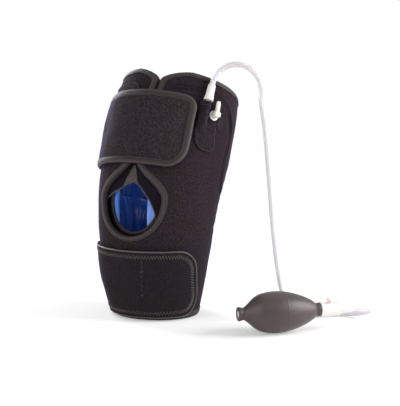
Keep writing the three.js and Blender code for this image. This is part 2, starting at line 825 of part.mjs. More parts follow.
const { foot: inletFoot, mouth: inletMouth } = inletFrame();
const inletCorner = inletFoot.origin.clone().addScaledVector(inletFoot.off, inletTubeLift);
const inletAxis = inletMouth.origin.clone().sub(inletCorner).normalize();

function buildInlet() {
  const bend = 5;
  const start = inletFoot.origin.clone().addScaledVector(inletFoot.off, -shellThickness - 0.3);
  const path = new THREE.CurvePath();
  const beforeBend = inletCorner.clone().addScaledVector(inletFoot.off, -bend);
  const afterBend = inletCorner.clone().addScaledVector(inletAxis, bend);
  path.add(new THREE.LineCurve3(start, beforeBend));
  path.add(new THREE.QuadraticBezierCurve3(beforeBend, inletCorner, afterBend));
  path.add(new THREE.LineCurve3(afterBend, inletMouth.origin));
  const tube = roundTube(path, stemRadius, 12, 24);
  const length = inletMouth.origin.distanceTo(afterBend);
  const sleeve = turned([[0, 1], [inletTubeRadius, 1], [inletTubeRadius, length - 1.2],
    [stemRadius, length], [0, length]], 12);
  sleeve.applyMatrix4(placing(afterBend, inletAxis, inletFoot.off));
  addPart('inlet_tube', joinedWith(tube, sleeve), 'plastic');
  const flange = turned(ringProfile(stemRadius + runningGap, flangeRadius - 0.6, 0.3, 0.3 + flangeThickness), 16);
  addPart('inlet_flange', flange, 'plastic', placing(inletFoot.origin, inletFoot.off, inletFoot.up));
}

// Second port: a flange on the pocket with a stem that the elbow swivels on
const elbowFrame = wrapFrame(elbowArc, wrapLength - elbowBelowRim, 0);
const elbowSeat = pocketLift + pocketThickness + 0.45;

function buildElbow() {
  const place = placing(elbowFrame.origin, elbowFrame.off, elbowFrame.up);
  const bore = 1.2;
  const flange = turned([[bore, -shellThickness - 0.3], [stemRadius, -shellThickness - 0.3], [stemRadius, elbowSeat],
    [flangeRadius, elbowSeat], [flangeRadius, elbowSeat + 0.9], [flangeRadius - 0.7, elbowSeat + flangeThickness],
    [stemRadius, elbowSeat + flangeThickness], [stemRadius, elbowSeat + 6], [bore, elbowSeat + 6],
    [bore, -shellThickness - 0.3]], 18);
  addPart('outlet_flange', flange, 'plastic', place);
  const low = elbowSeat + flangeThickness + runningGap;
  const top = low + hubHeight;
  const hub = turned([[0, low], [hubRadius, low], [hubRadius, top - 1], [hubRadius - 1, top], [0, top]], 6);
  const barbLift = top - hubRadius + 0.6;
  const barb = turned([[0, 0], [barbRadius, 0], [barbRadius, hubRadius + 2], [barbRadius + 0.7, hubRadius + 2.4],
    [barbRadius, hubRadius + 5], [barbRadius, hubRadius + 6], [barbRadius + 0.7, hubRadius + 6.4],
    [barbRadius - 0.3, hubRadius + barbLength], [0, hubRadius + barbLength]], 12);
  barb.rotateX(Math.PI / 2);
  barb.translate(0, barbLift, 0);
  const socket = turned(rodProfile(stemRadius + runningGap, low - 1, elbowSeat + 6 + runningGap), 18);
  const drill = turned(rodProfile(bore, 0, hubRadius + barbLength + 1), 10);
  drill.rotateX(Math.PI / 2);
  drill.translate(0, barbLift, 0);
  const well = turned(rodProfile(bore, low, barbLift + bore * 0.5), 10);
  addPart('port_elbow', cutFrom(joinedWith(hub, barb), socket, drill, well), 'plastic', place);
}

// Cuff on the hose that pushes over the inlet tube, with a seal inside
const cuffStart = inletMouth.origin.clone().addScaledVector(inletAxis, -10);
const cuffPlace = placing(cuffStart, inletAxis, inletFoot.off);

function buildCuff() {
  const hoseBore = hoseDiameter / 2 + runningGap;
  const tubeBore = inletTubeRadius + 1.4;
  const shoulder = 11;
  const cuff = turned([[tubeBore, 0], [cuffMouthRadius, 0], [cuffMouthRadius, 4], [cuffMouthRadius - 0.5, 6],
    [cuffTopRadius + 0.3, 12], [cuffTopRadius, cuffLength - 1], [cuffTopRadius - 0.4, cuffLength],
    [hoseBore, cuffLength], [hoseBore, shoulder + 1], [inletTubeRadius - 1, shoulder + 1],
    [inletTubeRadius - 1, shoulder], [tubeBore, shoulder], [tubeBore, 0]], 18);
  addPart('hose_cuff', cuff, 'plastic', cuffPlace);
  const seal = turned(ringProfile(inletTubeRadius + runningGap, tubeBore - runningGap, 3, 3 + sealLength), 16);
  addPart('cuff_seal', seal, 'seal', cuffPlace);
}

// Bulb and valve along one axis, from the intake end to the hose
const pumpAxis = new THREE.Vector3(Math.cos(THREE.MathUtils.degToRad(bulbHeading)),
  Math.sin(THREE.MathUtils.degToRad(bulbHeading)), 0);
const floorLift = 0.1;
const bulbPlace = placing(new THREE.Vector3(bulbTail.x, bulbTail.y, floorLevel + floorLift + bulbRadius), pumpAxis,
  new THREE.Vector3(0, 0, 1));

// Pear shape, widest nearer to the tail
function bulbProfile(inset) {
  const bodyStart = 7;
  const bodyEnd = bulbLength - 6;
  const points = [];
  for (const turn of spread(0, 180, 14)) {
    const angle = THREE.MathUtils.degToRad(turn);
    const share = (1 - Math.cos(angle)) / 2;
    const neck = THREE.MathUtils.lerp(intakeNeckRadius - 1.2, outletNeckRadius - 0.4, share);
    const swell = Math.sin(Math.PI * share ** 0.92) ** 0.72;
    const radius = neck + (bulbRadius - neck) * swell - inset;
    points.push([radius, bodyStart + (bodyEnd - bodyStart) * share]);
  }
  return points;
}

function buildBulb() {
  const outer = bulbProfile(0);
  const inner = bulbProfile(bulbWall).filter((_, i) => i % 2 === 0).reverse()
    .map(([radius, height]) => [Math.max(radius, intakeBore), height]);
  const profile = [
    [intakeBore, 0],
    [intakeNeckRadius, 0],
    [intakeNeckRadius - 0.1, 2.5],
    ...outer,
    [outletNeckRadius, bulbLength - 2],
    [outletNeckRadius, bulbLength],
    [outletBore, bulbLength],
    [outletBore, bulbLength - 9],
    ...inner.slice(1),
    [intakeBore, 0],
  ];
  addPart('pump_bulb', turned(profile, 20), 'rubber', bulbPlace);
}

function buildIntakeValve() {
  const outer = intakeBore - runningGap;
  const seat = turned([[1.2, 0.6], [outer, 0.6], [outer, 9.4], [2.2, 9.4], [2.2, 8.6], [3, 8.6], [3, 4.6],
    [1.2, 4.6], [1.2, 0.6]], 16);
  addPart('intake_valve_seat', seat, 'plastic', bulbPlace);
  addPart('intake_valve_disc', turned(rodProfile(2.7, 4.9, 5.8), 16), 'seal', bulbPlace);
}

const valveStart = bulbLength + 0.4;
const valveEnd = valveStart + 2.5 + valveBodyLength;
const buttonAlong = valveStart + 13;
const nippleEnd = valveEnd + 4;

function buildReleaseValve() {
  const spigot = outletBore - runningGap;
  const body = turned([[valveBore, bulbLength - 9], [spigot, bulbLength - 9], [spigot, valveStart],
    [outletNeckRadius + 0.6, valveStart], [outletNeckRadius + 0.6, valveStart + 2.5],
    [valveBodyRadius, valveStart + 3.2], [valveBodyRadius, valveEnd - 2], [valveBodyRadius - 2, valveEnd],
    [2.6, valveEnd], [2.6, nippleEnd], [valveBore, nippleEnd], [valveBore, bulbLength + 1],
    [3.1, bulbLength + 1], [3.1, bulbLength - 6.5], [valveBore, bulbLength - 8], [valveBore, bulbLength - 9]], 18);
  const well = turned(rodProfile(3.1, 2.5, valveBodyRadius + 3), 14);
  const stemHole = turned(rodProfile(1.4, -1, 4), 12);
  for (const hole of [well, stemHole]) {
    hole.rotateX(Math.PI / 2);
    hole.translate(0, buttonAlong, 0);
  }
  addPart('release_valve_body', cutFrom(body, well, stemHole), 'plastic', bulbPlace);
  const ball = new THREE.SphereGeometry(2.5, 12, 8);
  addPart('check_valve_ball', tidyBody(moved(ball, 0, bulbLength - 5.5, 0)), 'steel', bulbPlace);
}

function buildReleaseButton() {
  const capLow = valveBodyRadius + buttonTravel + 0.3;
  const button = turned([[0, 2.9], [1.1, 2.9], [1.1, 7.6], [2.7, 7.6], [2.7, capLow], [buttonRadius, capLow],
    [buttonRadius, capLow + 2.4], [buttonRadius - 0.8, capLow + 3.2], [0, capLow + 2.9]], 20);
  const place = bulbPlace.clone().multiply(new THREE.Matrix4().makeTranslation(0, buttonAlong, 0))
    .multiply(new THREE.Matrix4().makeRotationX(Math.PI / 2));
  addPart('release_button', button, 'plastic', place);
  const low = 3.1;
  const high = 7.3;
  const turns = springTurns;
  class Coil extends THREE.Curve {
    getPoint(t) {
      const angle = 2 * Math.PI * turns * t;
      const height = low + (high - low) * t;
      return new THREE.Vector3(1.95 * Math.cos(angle), height, 1.95 * Math.sin(angle));
    }
  }
  addPart('release_spring', roundTube(new Coil(), springWire / 2, 5, turns * 8), 'steel', place);
}

function buildFerrule() {
  const inner = hoseDiameter / 2 + runningGap;
  const ferrule = turned([[inner, valveEnd + 0.3], [inner + 1.4, valveEnd + 0.3], [inner + 1.6, valveEnd + 2],
    [inner + 1.6, valveEnd + 13], [inner + 1, valveEnd + 16], [inner, valveEnd + 16],
    [inner, valveEnd + 0.3]], 18);
  addPart('hose_ferrule', ferrule, 'plastic', bulbPlace);
}

// Hose: up out of the cuff, over in an arch, down to the floor and round to the bulb's valve.
// The points are measured from the floor, on the axes of the wrap's form.
const hoseRoute = [
  [75.5, 27.5, 309],
  [83.5, 34, 317.5],
  [94, 38.5, 321],
  [107, 42, 319.5],
  [119, 43.5, 312],
  [126.5, 45, 301],
  [129.5, 46.5, 287],
  [130, 45, 274],
  [135, 44.5, 245],
  [139, 43, 216.5],
  [142.5, 41.5, 187.5],
  [146, 40, 159],
  [149, 39, 130],
  [152.5, 38.5, 101],
  [156, 39, 72.5],
  [160.5, 40.5, 44],
  [164, 43, 29.5],
  [171, 49, 16.5],
  [180, 57.5, 8],
  [190.5, 68, 4],
  [202, 78, 4],
  [211.5, 90, 4],
  [225.5, 99, 4],
  [240, 101, 5.5],
  [254.5, 96.5, 9],
  [265, 86.5, 15],
  [269.5, 72, 20.5],
  [267, 58, 24],
];

function buildHose() {
  const start = cuffStart.clone().addScaledVector(inletAxis, 12.4);
  const end = new THREE.Vector3(0, nippleEnd + runningGap, 0).applyMatrix4(bulbPlace);
  const points = [
    start,
    start.clone().addScaledVector(inletAxis, 13),
    ...hoseRoute.map(([x, y, z]) => new THREE.Vector3(x, y, floorLevel + z)),
    end.clone().addScaledVector(pumpAxis, 14),
    end,
  ];
  const curve = new THREE.CatmullRomCurve3(points, false, 'centripetal');
  addPart('hose', roundTube(curve, hoseDiameter / 2, 8, 42), 'hose');
}

buildShell();
buildRimTapes();
buildBladder();
buildLining();
buildGelPack('gel_pack_outer_side', -1);
buildGelPack('gel_pack_inner_side', 1);
buildUpperStrap();
buildLowerStrap();
buildAnchors();
buildPocket();
buildInlet();
buildElbow();
buildCuff();
buildBulb();
buildIntakeValve();
buildReleaseValve();
buildReleaseButton();
buildFerrule();
buildHose();

// The origin is the middle of the underside, measured without the hose and its cuff
function standOnOrigin() {
  const box = new THREE.Box3();
  for (const mesh of solids.children) {
    if (!['hose', 'hose_cuff', 'cuff_seal'].includes(mesh.name)) box.expandByObject(mesh, true);
  }
  const middle = box.getCenter(new THREE.Vector3());
  solids.position.set(-middle.x, -middle.y, -floorLevel);
}

standOnOrigin();

export default solids;
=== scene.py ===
# Looks of a cold compression wrap for the knee with its hand pump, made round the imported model.
# Metres, +Z up. The front of the wrap faces -Y, and its inner side, with the ports, faces +X.
import math

import bpy
import numpy as np
from mathutils import Matrix, Vector


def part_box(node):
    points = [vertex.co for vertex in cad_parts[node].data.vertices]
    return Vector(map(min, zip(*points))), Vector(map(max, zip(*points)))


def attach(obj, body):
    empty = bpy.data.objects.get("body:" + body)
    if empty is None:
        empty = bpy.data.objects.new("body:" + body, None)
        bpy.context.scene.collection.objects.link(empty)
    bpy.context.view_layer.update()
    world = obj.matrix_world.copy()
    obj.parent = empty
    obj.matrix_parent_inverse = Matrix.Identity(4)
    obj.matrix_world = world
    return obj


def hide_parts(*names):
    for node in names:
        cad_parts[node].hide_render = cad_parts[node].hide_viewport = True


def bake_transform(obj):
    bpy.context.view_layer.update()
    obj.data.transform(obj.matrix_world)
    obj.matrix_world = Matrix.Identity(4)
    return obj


bl_info = {
    "name": "Knee cold wrap",
    "version": (1, 0, 0),
    "blender": (4, 5, 0),
    "location": "View3D > Sidebar > Knee wrap",
    "description": "Makes the fabric, straps, gel packs, ports, hose and bulb of a knee cold wrap",
    "category": "Object",
}

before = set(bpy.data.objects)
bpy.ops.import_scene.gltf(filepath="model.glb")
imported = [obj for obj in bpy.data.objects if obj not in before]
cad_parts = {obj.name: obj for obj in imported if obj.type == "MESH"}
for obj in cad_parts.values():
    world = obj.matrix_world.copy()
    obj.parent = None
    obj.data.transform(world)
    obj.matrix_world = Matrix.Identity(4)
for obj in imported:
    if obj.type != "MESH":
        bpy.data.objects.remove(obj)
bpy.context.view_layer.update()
MM = 0.001

# Form of the wrap: its middle line stands straight, bends back and goes on straight
WRAP_LENGTH = 298 * MM
BEND_ANGLE = math.radians(25)
BEND_START = 98 * MM
BEND_END = 205 * MM
FORM_SHARES = np.array([0, 0.055, 0.17, 0.33, 0.49, 0.655, 0.81, 0.94, 1])
# To the inner and to the outer side
HALF_WIDTHS = MM * np.array([
    [56, 59, 66, 74.5, 80.5, 85.5, 84, 81, 78], [55, 59, 70, 74.5, 76, 79, 83, 80, 76]])
# To the front and to the back
HALF_DEPTHS = MM * np.array([
    [50, 56, 62, 68.5, 77, 77, 75, 72.5, 70], [52, 60, 66, 70, 72, 76, 80, 79, 77]])

# Opening, slit and notch
OPENING_CENTRE = 3 * MM
OPENING_MIDDLE = 143 * MM
OPENING_HALF_WIDTH = 43.5 * MM
OPENING_DROP = 38 * MM
OPENING_RISE = 43 * MM
SLIT_HALF_GAP = 2 * MM
SLIT_LEAN = 10.5 * MM
NOTCH_HALF_WIDTH = 46 * MM
NOTCH_DEPTH = 16 * MM
NOTCH_FOOT = WRAP_LENGTH - NOTCH_DEPTH
NOTCH_RISE = NOTCH_DEPTH + 1 * MM

# Layers, from the outside in
SHELL_THICKNESS = 4 * MM
BLADDER_THICKNESS = 5 * MM
BLADDER_EDGE = 1.6 * MM
BLADDER_FRONT = math.radians(47)
BLADDER_LOW = 22 * MM
BLADDER_HIGH = WRAP_LENGTH - 18 * MM
LINING_THICKNESS = 1.4 * MM
LINING_INSET = 4 * MM
GEL_THICKNESS = 9 * MM
GEL_EDGE = 2.4 * MM
GEL_END_INSET = 34 * MM
GEL_FRONT_DEGREES = 20
GEL_SPAN_DEGREES = 148
GEL_CELLS_UP = 4
GEL_CELLS_ROUND = 3
LAYER_GAP = 0.9 * MM

# Tape and straps
TAPE_GAP = 0.4 * MM
TAPE_THICKNESS = 0.8 * MM
TAPE_UNDER_GAP = 0.6 * MM
STRAP_HINGE_ANGLE = math.radians(-72)
UPPER_STRAP_LIFT = TAPE_GAP + 2 * TAPE_THICKNESS + TAPE_UNDER_GAP + 0.7 * MM
LOWER_STRAP_LIFT = TAPE_GAP + TAPE_THICKNESS + 0.7 * MM
ANCHOR_SETBACK = 7.5 * MM
ANCHOR_WIDTH = 15 * MM
ANCHOR_HEIGHT = 3.4 * MM
HOOK_WIDTH = 34 * MM
# Share of its pitch that a stitch takes up, and the pitch of the finer rows
STITCH_FILL = 0.7
FINE_PITCH = 2.6 * MM

# Ports
INLET_ARC = 77.5 * MM
INLET_ALONG = WRAP_LENGTH - 62 * MM
INLET_LIFT = 6.3 * MM
INLET_REACH = 39 * MM
ELBOW_ARC = 92 * MM
ELBOW_ALONG = WRAP_LENGTH - 48 * MM
STEM_RADIUS = 2.3 * MM
TUBE_RADIUS = 2.9 * MM
CUFF_OVERLAP = 10 * MM
CUFF_STOP = 12 * MM

# Bulb and valve: distances along their common axis, from the tail
BULB_HEADING = math.radians(45)
BULB_TAIL = MM * np.array([153, -60, 24.1])
BALL_ALONG = 98.5 * MM
BUTTON_ALONG = 117.4 * MM
NIPPLE_END = 134.9 * MM
PUMP_AXIS = np.array([math.cos(BULB_HEADING), math.sin(BULB_HEADING), 0.0])
UPWARD = np.array([0.0, 0.0, 1.0])

# The form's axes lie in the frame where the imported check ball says
BALL_PLACE = (np.array(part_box("check_valve_ball")[0]) + np.array(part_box("check_valve_ball")[1])) / 2
SHIFT = BALL_PLACE - BULB_TAIL - BALL_ALONG * PUMP_AXIS
# Start, direction and upper side of the pump and of its button
PUMP_LINE = (BULB_TAIL + SHIFT, PUMP_AXIS, UPWARD)
BUTTON_LINE = (BULB_TAIL + SHIFT + PUMP_AXIS * BUTTON_ALONG, UPWARD, PUMP_AXIS)

# Hose: points on the form's axes, with their height measured from the floor
HOSE_ROUTE = MM * np.array([
    [75.5, 27.5, 309], [83.5, 34, 317.5], [94, 38.5, 321], [107, 42, 319.5], [119, 43.5, 312],
    [126.5, 45, 301], [129.5, 46.5, 287], [130, 45, 274], [135, 44.5, 245], [139, 43, 216.5],
    [142.5, 41.5, 187.5], [146, 40, 159], [149, 39, 130], [152.5, 38.5, 101], [156, 39, 72.5],
    [160.5, 40.5, 44], [164, 43, 29.5], [171, 49, 16.5], [180, 57.5, 8], [190.5, 68, 4],
    [202, 78, 4], [211.5, 90, 4], [225.5, 99, 4], [240, 101, 5.5], [254.5, 96.5, 9],
    [265, 86.5, 15], [269.5, 72, 20.5], [267, 58, 24],
])


def linear(text):
    """Colour of the render from an sRGB hex value."""
    parts = np.array([int(text[k:k + 2], 16) for k in (1, 3, 5)]) / 255
    low = parts / 12.92
    high = ((parts + 0.055) / 1.055) ** 2.4
    return tuple(np.where(parts <= 0.04045, low, high).tolist())


def length(name, description, default):
    return bpy.props.FloatProperty(name=name, description=description, default=default, unit="LENGTH", min=0)


def number(name, description, default, **kind):
    return bpy.props.FloatProperty(name=name, description=description, default=default, **kind)


def colour(name, description, default):
    return bpy.props.FloatVectorProperty(name=name, description=description, default=linear(default),
                                         subtype="COLOR", size=3, min=0, max=1)


class WrapSizes(bpy.types.PropertyGroup):
    """Sizes of the fabric wrap that a user would change."""

    tape_width: length("Tape width", "Width of the binding tape on each face", 7.6 * MM)
    tape_crown: length("Tape crown", "Height of the padded binding over the fabric", 1.25 * MM)
    covered_crown: length("Covered crown", "Height of the binding where the strap lies on it", 1.1 * MM)
    fabric_ripple: length("Fabric ripple", "Depth of the soft waves in the foam fabric", 0.7 * MM)
    stitch_pitch: length("Stitch pitch", "Distance from one stitch to the next", 3.4 * MM)
    stitch_radius: length("Thread radius", "Half the thickness of the sewing thread", 0.22 * MM)
    piping_radius: length("Piping radius", "Half the thickness of the seam ridges", 1.3 * MM)


class StrapSizes(bpy.types.PropertyGroup):
    """Sizes of the two closure straps."""

    upper_bottom: length("Upper strap bottom", "Lower edge of the upper strap above the lower rim", 176 * MM)
    upper_top: length("Upper strap top", "Upper edge of the upper strap", 264 * MM)
    upper_reach: length("Upper strap reach", "Free end of the upper strap round the wrap", 66 * MM)
    upper_thickness: length("Upper strap thickness", "Thickness of the upper strap's foam", 3 * MM)
    upper_low_corner: length("Upper strap low corner", "Radius of the lower free corner", 24 * MM)
    upper_high_corner: length("Upper strap high corner", "Radius of the upper free corner", 16 * MM)
    lower_bottom: length("Lower strap bottom", "Lower edge of the lower strap", 3 * MM)
    lower_top: length("Lower strap top", "Upper edge of the lower strap", 90 * MM)
    lower_reach: length("Lower strap reach", "Free end of the lower strap round the wrap", 90 * MM)
    lower_thickness: length("Lower strap thickness", "Thickness of the lower strap's foam", 3 * MM)
    lower_low_corner: length("Lower strap low corner", "Radius of the lower free corner", 34 * MM)
    lower_high_corner: length("Lower strap high corner", "Radius of the upper free corner", 26 * MM)
    zigzag_width: length("Zigzag width", "Width of the zigzag stitching", 5.4 * MM)
    zigzag_pitch: length("Zigzag pitch", "Length of one zigzag", 3.4 * MM)


class PumpSizes(bpy.types.PropertyGroup):
    """Sizes of the bulb, the valve and the hose."""

    bulb_radius: length("Bulb radius", "Largest radius of the bulb", 25.2 * MM)
    bulb_wall: length("Bulb wall", "Thickness of the bulb's rubber", 3 * MM)
    hose_diameter: length("Hose diameter", "Outer diameter of the hose", 7.2 * MM)
    hose_bore: length("Hose bore", "Inner diameter of the hose", 4.2 * MM)
    mould_line: length("Mould line", "Height of the thin ring that the mould leaves on the bulb", 0.25 * MM)


class Finish(bpy.types.PropertyGroup):
    """Colours of the materials."""

    fabric: colour("Foam fabric", "Colour of the foam fabric", "#231c1d")
    fabric_sheen: colour("Fabric sheen", "Colour that the fabric's nap shows at a low angle", "#8670cc")
    strap_fabric: colour("Strap fabric", "Colour of the upper strap's loop fabric", "#2a2425")
    lower_fabric: colour("Lower strap fabric", "Colour of the lower strap's smoother fabric", "#1e1918")
    tape: colour("Binding tape", "Colour of the binding tape", "#2c2324")
    # Painted highlight: the lighter colour painted along the binding tape's crown
    tape_painted_highlight: colour("Painted tape highlight", "Colour along the crown of the binding tape", "#4c4142")
    thread: colour("Thread", "Colour of the sewing thread", "#4c4442")
    zigzag: colour("Zigzag thread", "Colour of the thread of the zigzag stitching", "#443e3c")
    # Near black: the lining's own dark colour, darkened further as painted shade for the shadow inside the
    # wrap; the lining tube and the gusset web wear it
    lining: colour("Lining", "Colour of the lining", "#120f10")
    gusset: colour("Gusset", "Colour of the small stretch gusset", "#4a4343")
    gel: colour("Gel film", "Colour of the gel packs", "#4b7cd2")
    # Painted highlight: the lighter blue painted into the gel film in streaks
    gel_painted_highlight: colour("Gel highlights", "Colour of the highlights painted on the gel", "#8fb2f0")
    plastic: colour("White plastic", "Colour of the fittings", "#e2ddd9")
    hose: colour("Hose", "Colour of the clear hose", "#f1eff3")
    rubber: colour("Bulb rubber", "Colour of the bulb", "#3b302f")


class StageSizes(bpy.types.PropertyGroup):
    """Camera, lamps and floor."""

    distance: length("Camera distance", "Distance of the camera from the wrap", 1.5)
    azimuth: number("Azimuth", "Turn of the camera round the wrap", math.radians(30), subtype="ANGLE")
    elevation: number("Elevation", "Height of the camera as an angle", math.radians(7), subtype="ANGLE")
    lens: number("Lens", "Focal length in millimetres on a 36 mm sensor", 102.3, unit="CAMERA")
    key_power: number("Key lamp", "Power of the front lamp in watts", 18, unit="POWER")
    side_power: number("Side lamps", "Power of the two side lamps in watts", 26, unit="POWER")
    world_light: number("World light", "Strength of the light from all round", 0.55)


def sizes(group):
    """The scene's values of one property group."""
    return getattr(bpy.context.scene, "knee_wrap_" + group)


def middle_line(along):
    """Place and lean of the middle line: straight, then an arc of a circle, then straight again."""
    radius = (BEND_END - BEND_START) / BEND_ANGLE
    lean = np.clip((along - BEND_START) / (BEND_END - BEND_START), 0, 1) * BEND_ANGLE
    beyond = np.maximum(along - BEND_END, 0)
    y = radius * (1 - np.cos(lean)) + beyond * np.sin(lean)
    z = np.minimum(along, BEND_START) + radius * np.sin(lean) + beyond * np.cos(lean)
    return y, z, lean


def smooth_value(values, along):
    """Cubic curve through the values at the form's shares, with slopes from each value's neighbours."""
    at = np.clip(np.asarray(along, float) / WRAP_LENGTH, -0.02, 1.02)
    i = np.searchsorted(FORM_SHARES[1:-1], at, side="left")
    after = np.minimum(np.arange(len(values)) + 1, len(values) - 1)
    before = np.maximum(np.arange(len(values)) - 1, 0)
    slope = (values[after] - values[before]) / (FORM_SHARES[after] - FORM_SHARES[before])
    step = FORM_SHARES[i + 1] - FORM_SHARES[i]
    t = (at - FORM_SHARES[i]) / step
    low = values[i] * (2 * t**3 - 3 * t**2 + 1) + slope[i] * step * (t**3 - 2 * t**2 + t)
    return low + values[i + 1] * (3 * t**2 - 2 * t**3) + slope[i + 1] * step * (t**3 - t**2)


def form_point(angle, along, lift):
    """Point on the form: half an ellipse to each side and to front and back, square to the middle line."""
    angle, along, lift = np.broadcast_arrays(angle, along, lift)
    y, z, lean = middle_line(along)
    side = np.sin(angle)
    front = np.cos(angle)
    half_width, half_depth = (
        np.where(way > 0, smooth_value(values[0], along), smooth_value(values[1], along))
        for way, values in ((side, HALF_WIDTHS), (front, HALF_DEPTHS)))
    across = (half_width + lift) * side
    forward = (half_depth + lift) * front
    return np.stack([across, y - forward * np.cos(lean), z + forward * np.sin(lean)], -1) + SHIFT


def mean_radius(along):
    """Mean of the four half widths and depths at a height."""
    return sum(smooth_value(values, along) for values in (*HALF_WIDTHS, *HALF_DEPTHS)) / 4


def wrap_point(around, along, lift):
    """Point on the form at a distance round it from the front: the angle is that distance over the radius."""
    return form_point(around / mean_radius(along), along, lift)


def around_of(angle, along):
    """Grid of the distances round and along that belong to angles and heights."""
    return np.stack([angle * mean_radius(along), along], -1)


def walked(points):
    """Distance along a line at each of its points."""
    return np.concatenate([[0], np.cumsum(np.linalg.norm(np.diff(points, axis=0), axis=1))])


def shares(rows, columns):
    """Shares from 0 to 1 as a column and as a row."""
    return np.linspace(0, 1, rows)[:, None], np.linspace(0, 1, columns)[None, :]


def unit(vectors):
    """The same directions with a length of one."""
    return vectors / np.linalg.norm(vectors, axis=-1, keepdims=True)


def form_frame(angle, along):
    """Directions round, along and off the form, from small steps to each side, and metres per unit of the
    first two."""
    small = 0.005
    step = small * MM
    round_way = form_point(angle + small, along, 0.0) - form_point(angle - small, along, 0.0)
    up_way = form_point(angle, along + step, 0.0) - form_point(angle, along - step, 0.0)
    round_scale = np.linalg.norm(round_way, axis=-1) / (2 * small)
    up_scale = np.linalg.norm(up_way, axis=-1) / (2 * step)
    return unit(round_way), unit(up_way), unit(np.cross(round_way, up_way)), round_scale, up_scale


def wrap_frame(around, along):
    """The same directions at a distance round the form."""
    return form_frame(around / mean_radius(along), along)


def smoothstep(value, low, high):
    """Cubic step from 0 at the low value to 1 at the high one, level at both."""
    t = np.clip((value - low) / (high - low), 0, 1)
    return t * t * (3 - 2 * t)


def hump(value, power):
    """Half a sine wave over 0 to 1, raised to a power."""
    return np.sin(np.pi * np.clip(value, 0, 1)).clip(0, None) ** power


def ripple(points, wavelength, seed):
    """Sum of plane waves through space, each with its own direction and phase, about 1 at most."""
    draw = np.random.RandomState(seed)
    waves = 9
    directions = unit(draw.normal(size=(waves, 3))) * draw.uniform(0.7, 1.3, (waves, 1))
    phases = draw.uniform(0, 2 * np.pi, waves)
    return np.sin(points @ directions.T * (2 * np.pi / wavelength) + phases).mean(-1) * 1.9


def slit_centre(along):
    """Middle of the cut: upright over the opening's lower half, then a straight line that leans over."""
    share_up = np.maximum(along - OPENING_MIDDLE, 0) / (WRAP_LENGTH - OPENING_MIDDLE)
    return OPENING_CENTRE + SLIT_LEAN * share_up


def cut_half(along, inset=0.0):
    """Half width of the cut: none below its floor, half an ellipse, a cosine up to the slit, and at the notch
    the mean of a power curve and a circle's arc."""
    low = np.clip((OPENING_MIDDLE - along) / (OPENING_DROP - inset), 0, 1)
    bowl = (OPENING_HALF_WIDTH - inset) * np.sqrt(1 - low**2)
    rise = np.clip((along - OPENING_MIDDLE) / OPENING_RISE, 0, 1)
    blend = (0.5 + 0.5 * np.cos(np.pi * rise)) ** 1.2
    upper = SLIT_HALF_GAP + (OPENING_HALF_WIDTH - SLIT_HALF_GAP) * blend - inset
    flare_rise = np.clip((along - NOTCH_FOOT) / NOTCH_RISE, 0, 1)
    flare = (NOTCH_HALF_WIDTH - SLIT_HALF_GAP) * (1 - np.sqrt(1 - flare_rise**2) + flare_rise**1.5) / 2
    return np.where(along < OPENING_MIDDLE, bowl, np.maximum(upper, SLIT_HALF_GAP)) + flare


def cut_rows(low, high, inset=0.0):
    """Heights of the rows, closer together where the cut's edge runs nearly level."""
    floor = OPENING_MIDDLE - OPENING_DROP + inset
    turn = np.linspace(0, np.pi / 2, 26)
    rise = np.arcsin(np.clip((high - NOTCH_FOOT) / NOTCH_RISE, 0, 1))
    return np.concatenate([
        np.linspace(low, floor, 40)[:-1],
        floor + (OPENING_MIDDLE - floor) * (1 - np.cos(turn)),
        np.linspace(OPENING_MIDDLE, OPENING_MIDDLE + OPENING_RISE, 22)[1:],
        np.linspace(OPENING_MIDDLE + OPENING_RISE, NOTCH_FOOT, 34)[1:],
        NOTCH_FOOT + NOTCH_RISE * np.sin(np.linspace(0, rise, 14)[1:]),
    ])


def put_mesh(name, points, faces, key, uv=None, caps=(), sharp=40):
    """Mesh object at the origin from points and four-cornered faces, in the material of the key.
    Unused points go, and the faces point outwards."""
    used, numbers = np.unique(np.concatenate([faces.ravel(), *caps]).astype(int), return_inverse=True)
    points = points[used]
    quads = numbers[:faces.size].reshape(faces.shape)
    ends = np.split(numbers[faces.size:], np.cumsum([len(cap) for cap in caps])[:-1]) if caps else []
    a, b, c, d = (points[quads[:, k]] for k in range(4))
    volume = np.einsum("ij,ij->i", a, np.cross(b, c) + np.cross(c, d)).sum()
    for cap in ends:
        fan = points[cap]
        volume += np.einsum("j,ij->i", fan[0], np.cross(fan[1:-1], fan[2:])).sum()
    if volume < 0:
        quads = quads[:, ::-1]
        ends = [cap[::-1] for cap in ends]
    mesh = bpy.data.meshes.new(name)
    mesh.from_pydata(points.tolist(), [], quads.tolist() + [cap.tolist() for cap in ends])
    if uv is not None:
        corner_uv = uv[:, ::-1] if volume < 0 else uv
        pattern = mesh.uv_layers.new(name="surface")
        flat = np.zeros((len(mesh.loops), 2), np.float32)
        flat[:quads.size] = corner_uv.reshape(-1, 2)
        pattern.data.foreach_set("uv", flat.ravel())
    mesh.polygons.foreach_set("use_smooth", np.ones(len(mesh.polygons), bool))
    mesh.set_sharp_from_angle(angle=math.radians(sharp))
    mesh.materials.append(material_of(key))
    piece = bpy.data.objects.new(name, mesh)
    bpy.context.scene.collection.objects.link(piece)
    return piece


def grid_cells(numbers):
    """Four corners of every cell of a grid of point numbers."""
    corners = [numbers[:-1, :-1], numbers[:-1, 1:], numbers[1:, 1:], numbers[1:, :-1]]
    return np.stack(corners, -1).reshape(-1, 4)


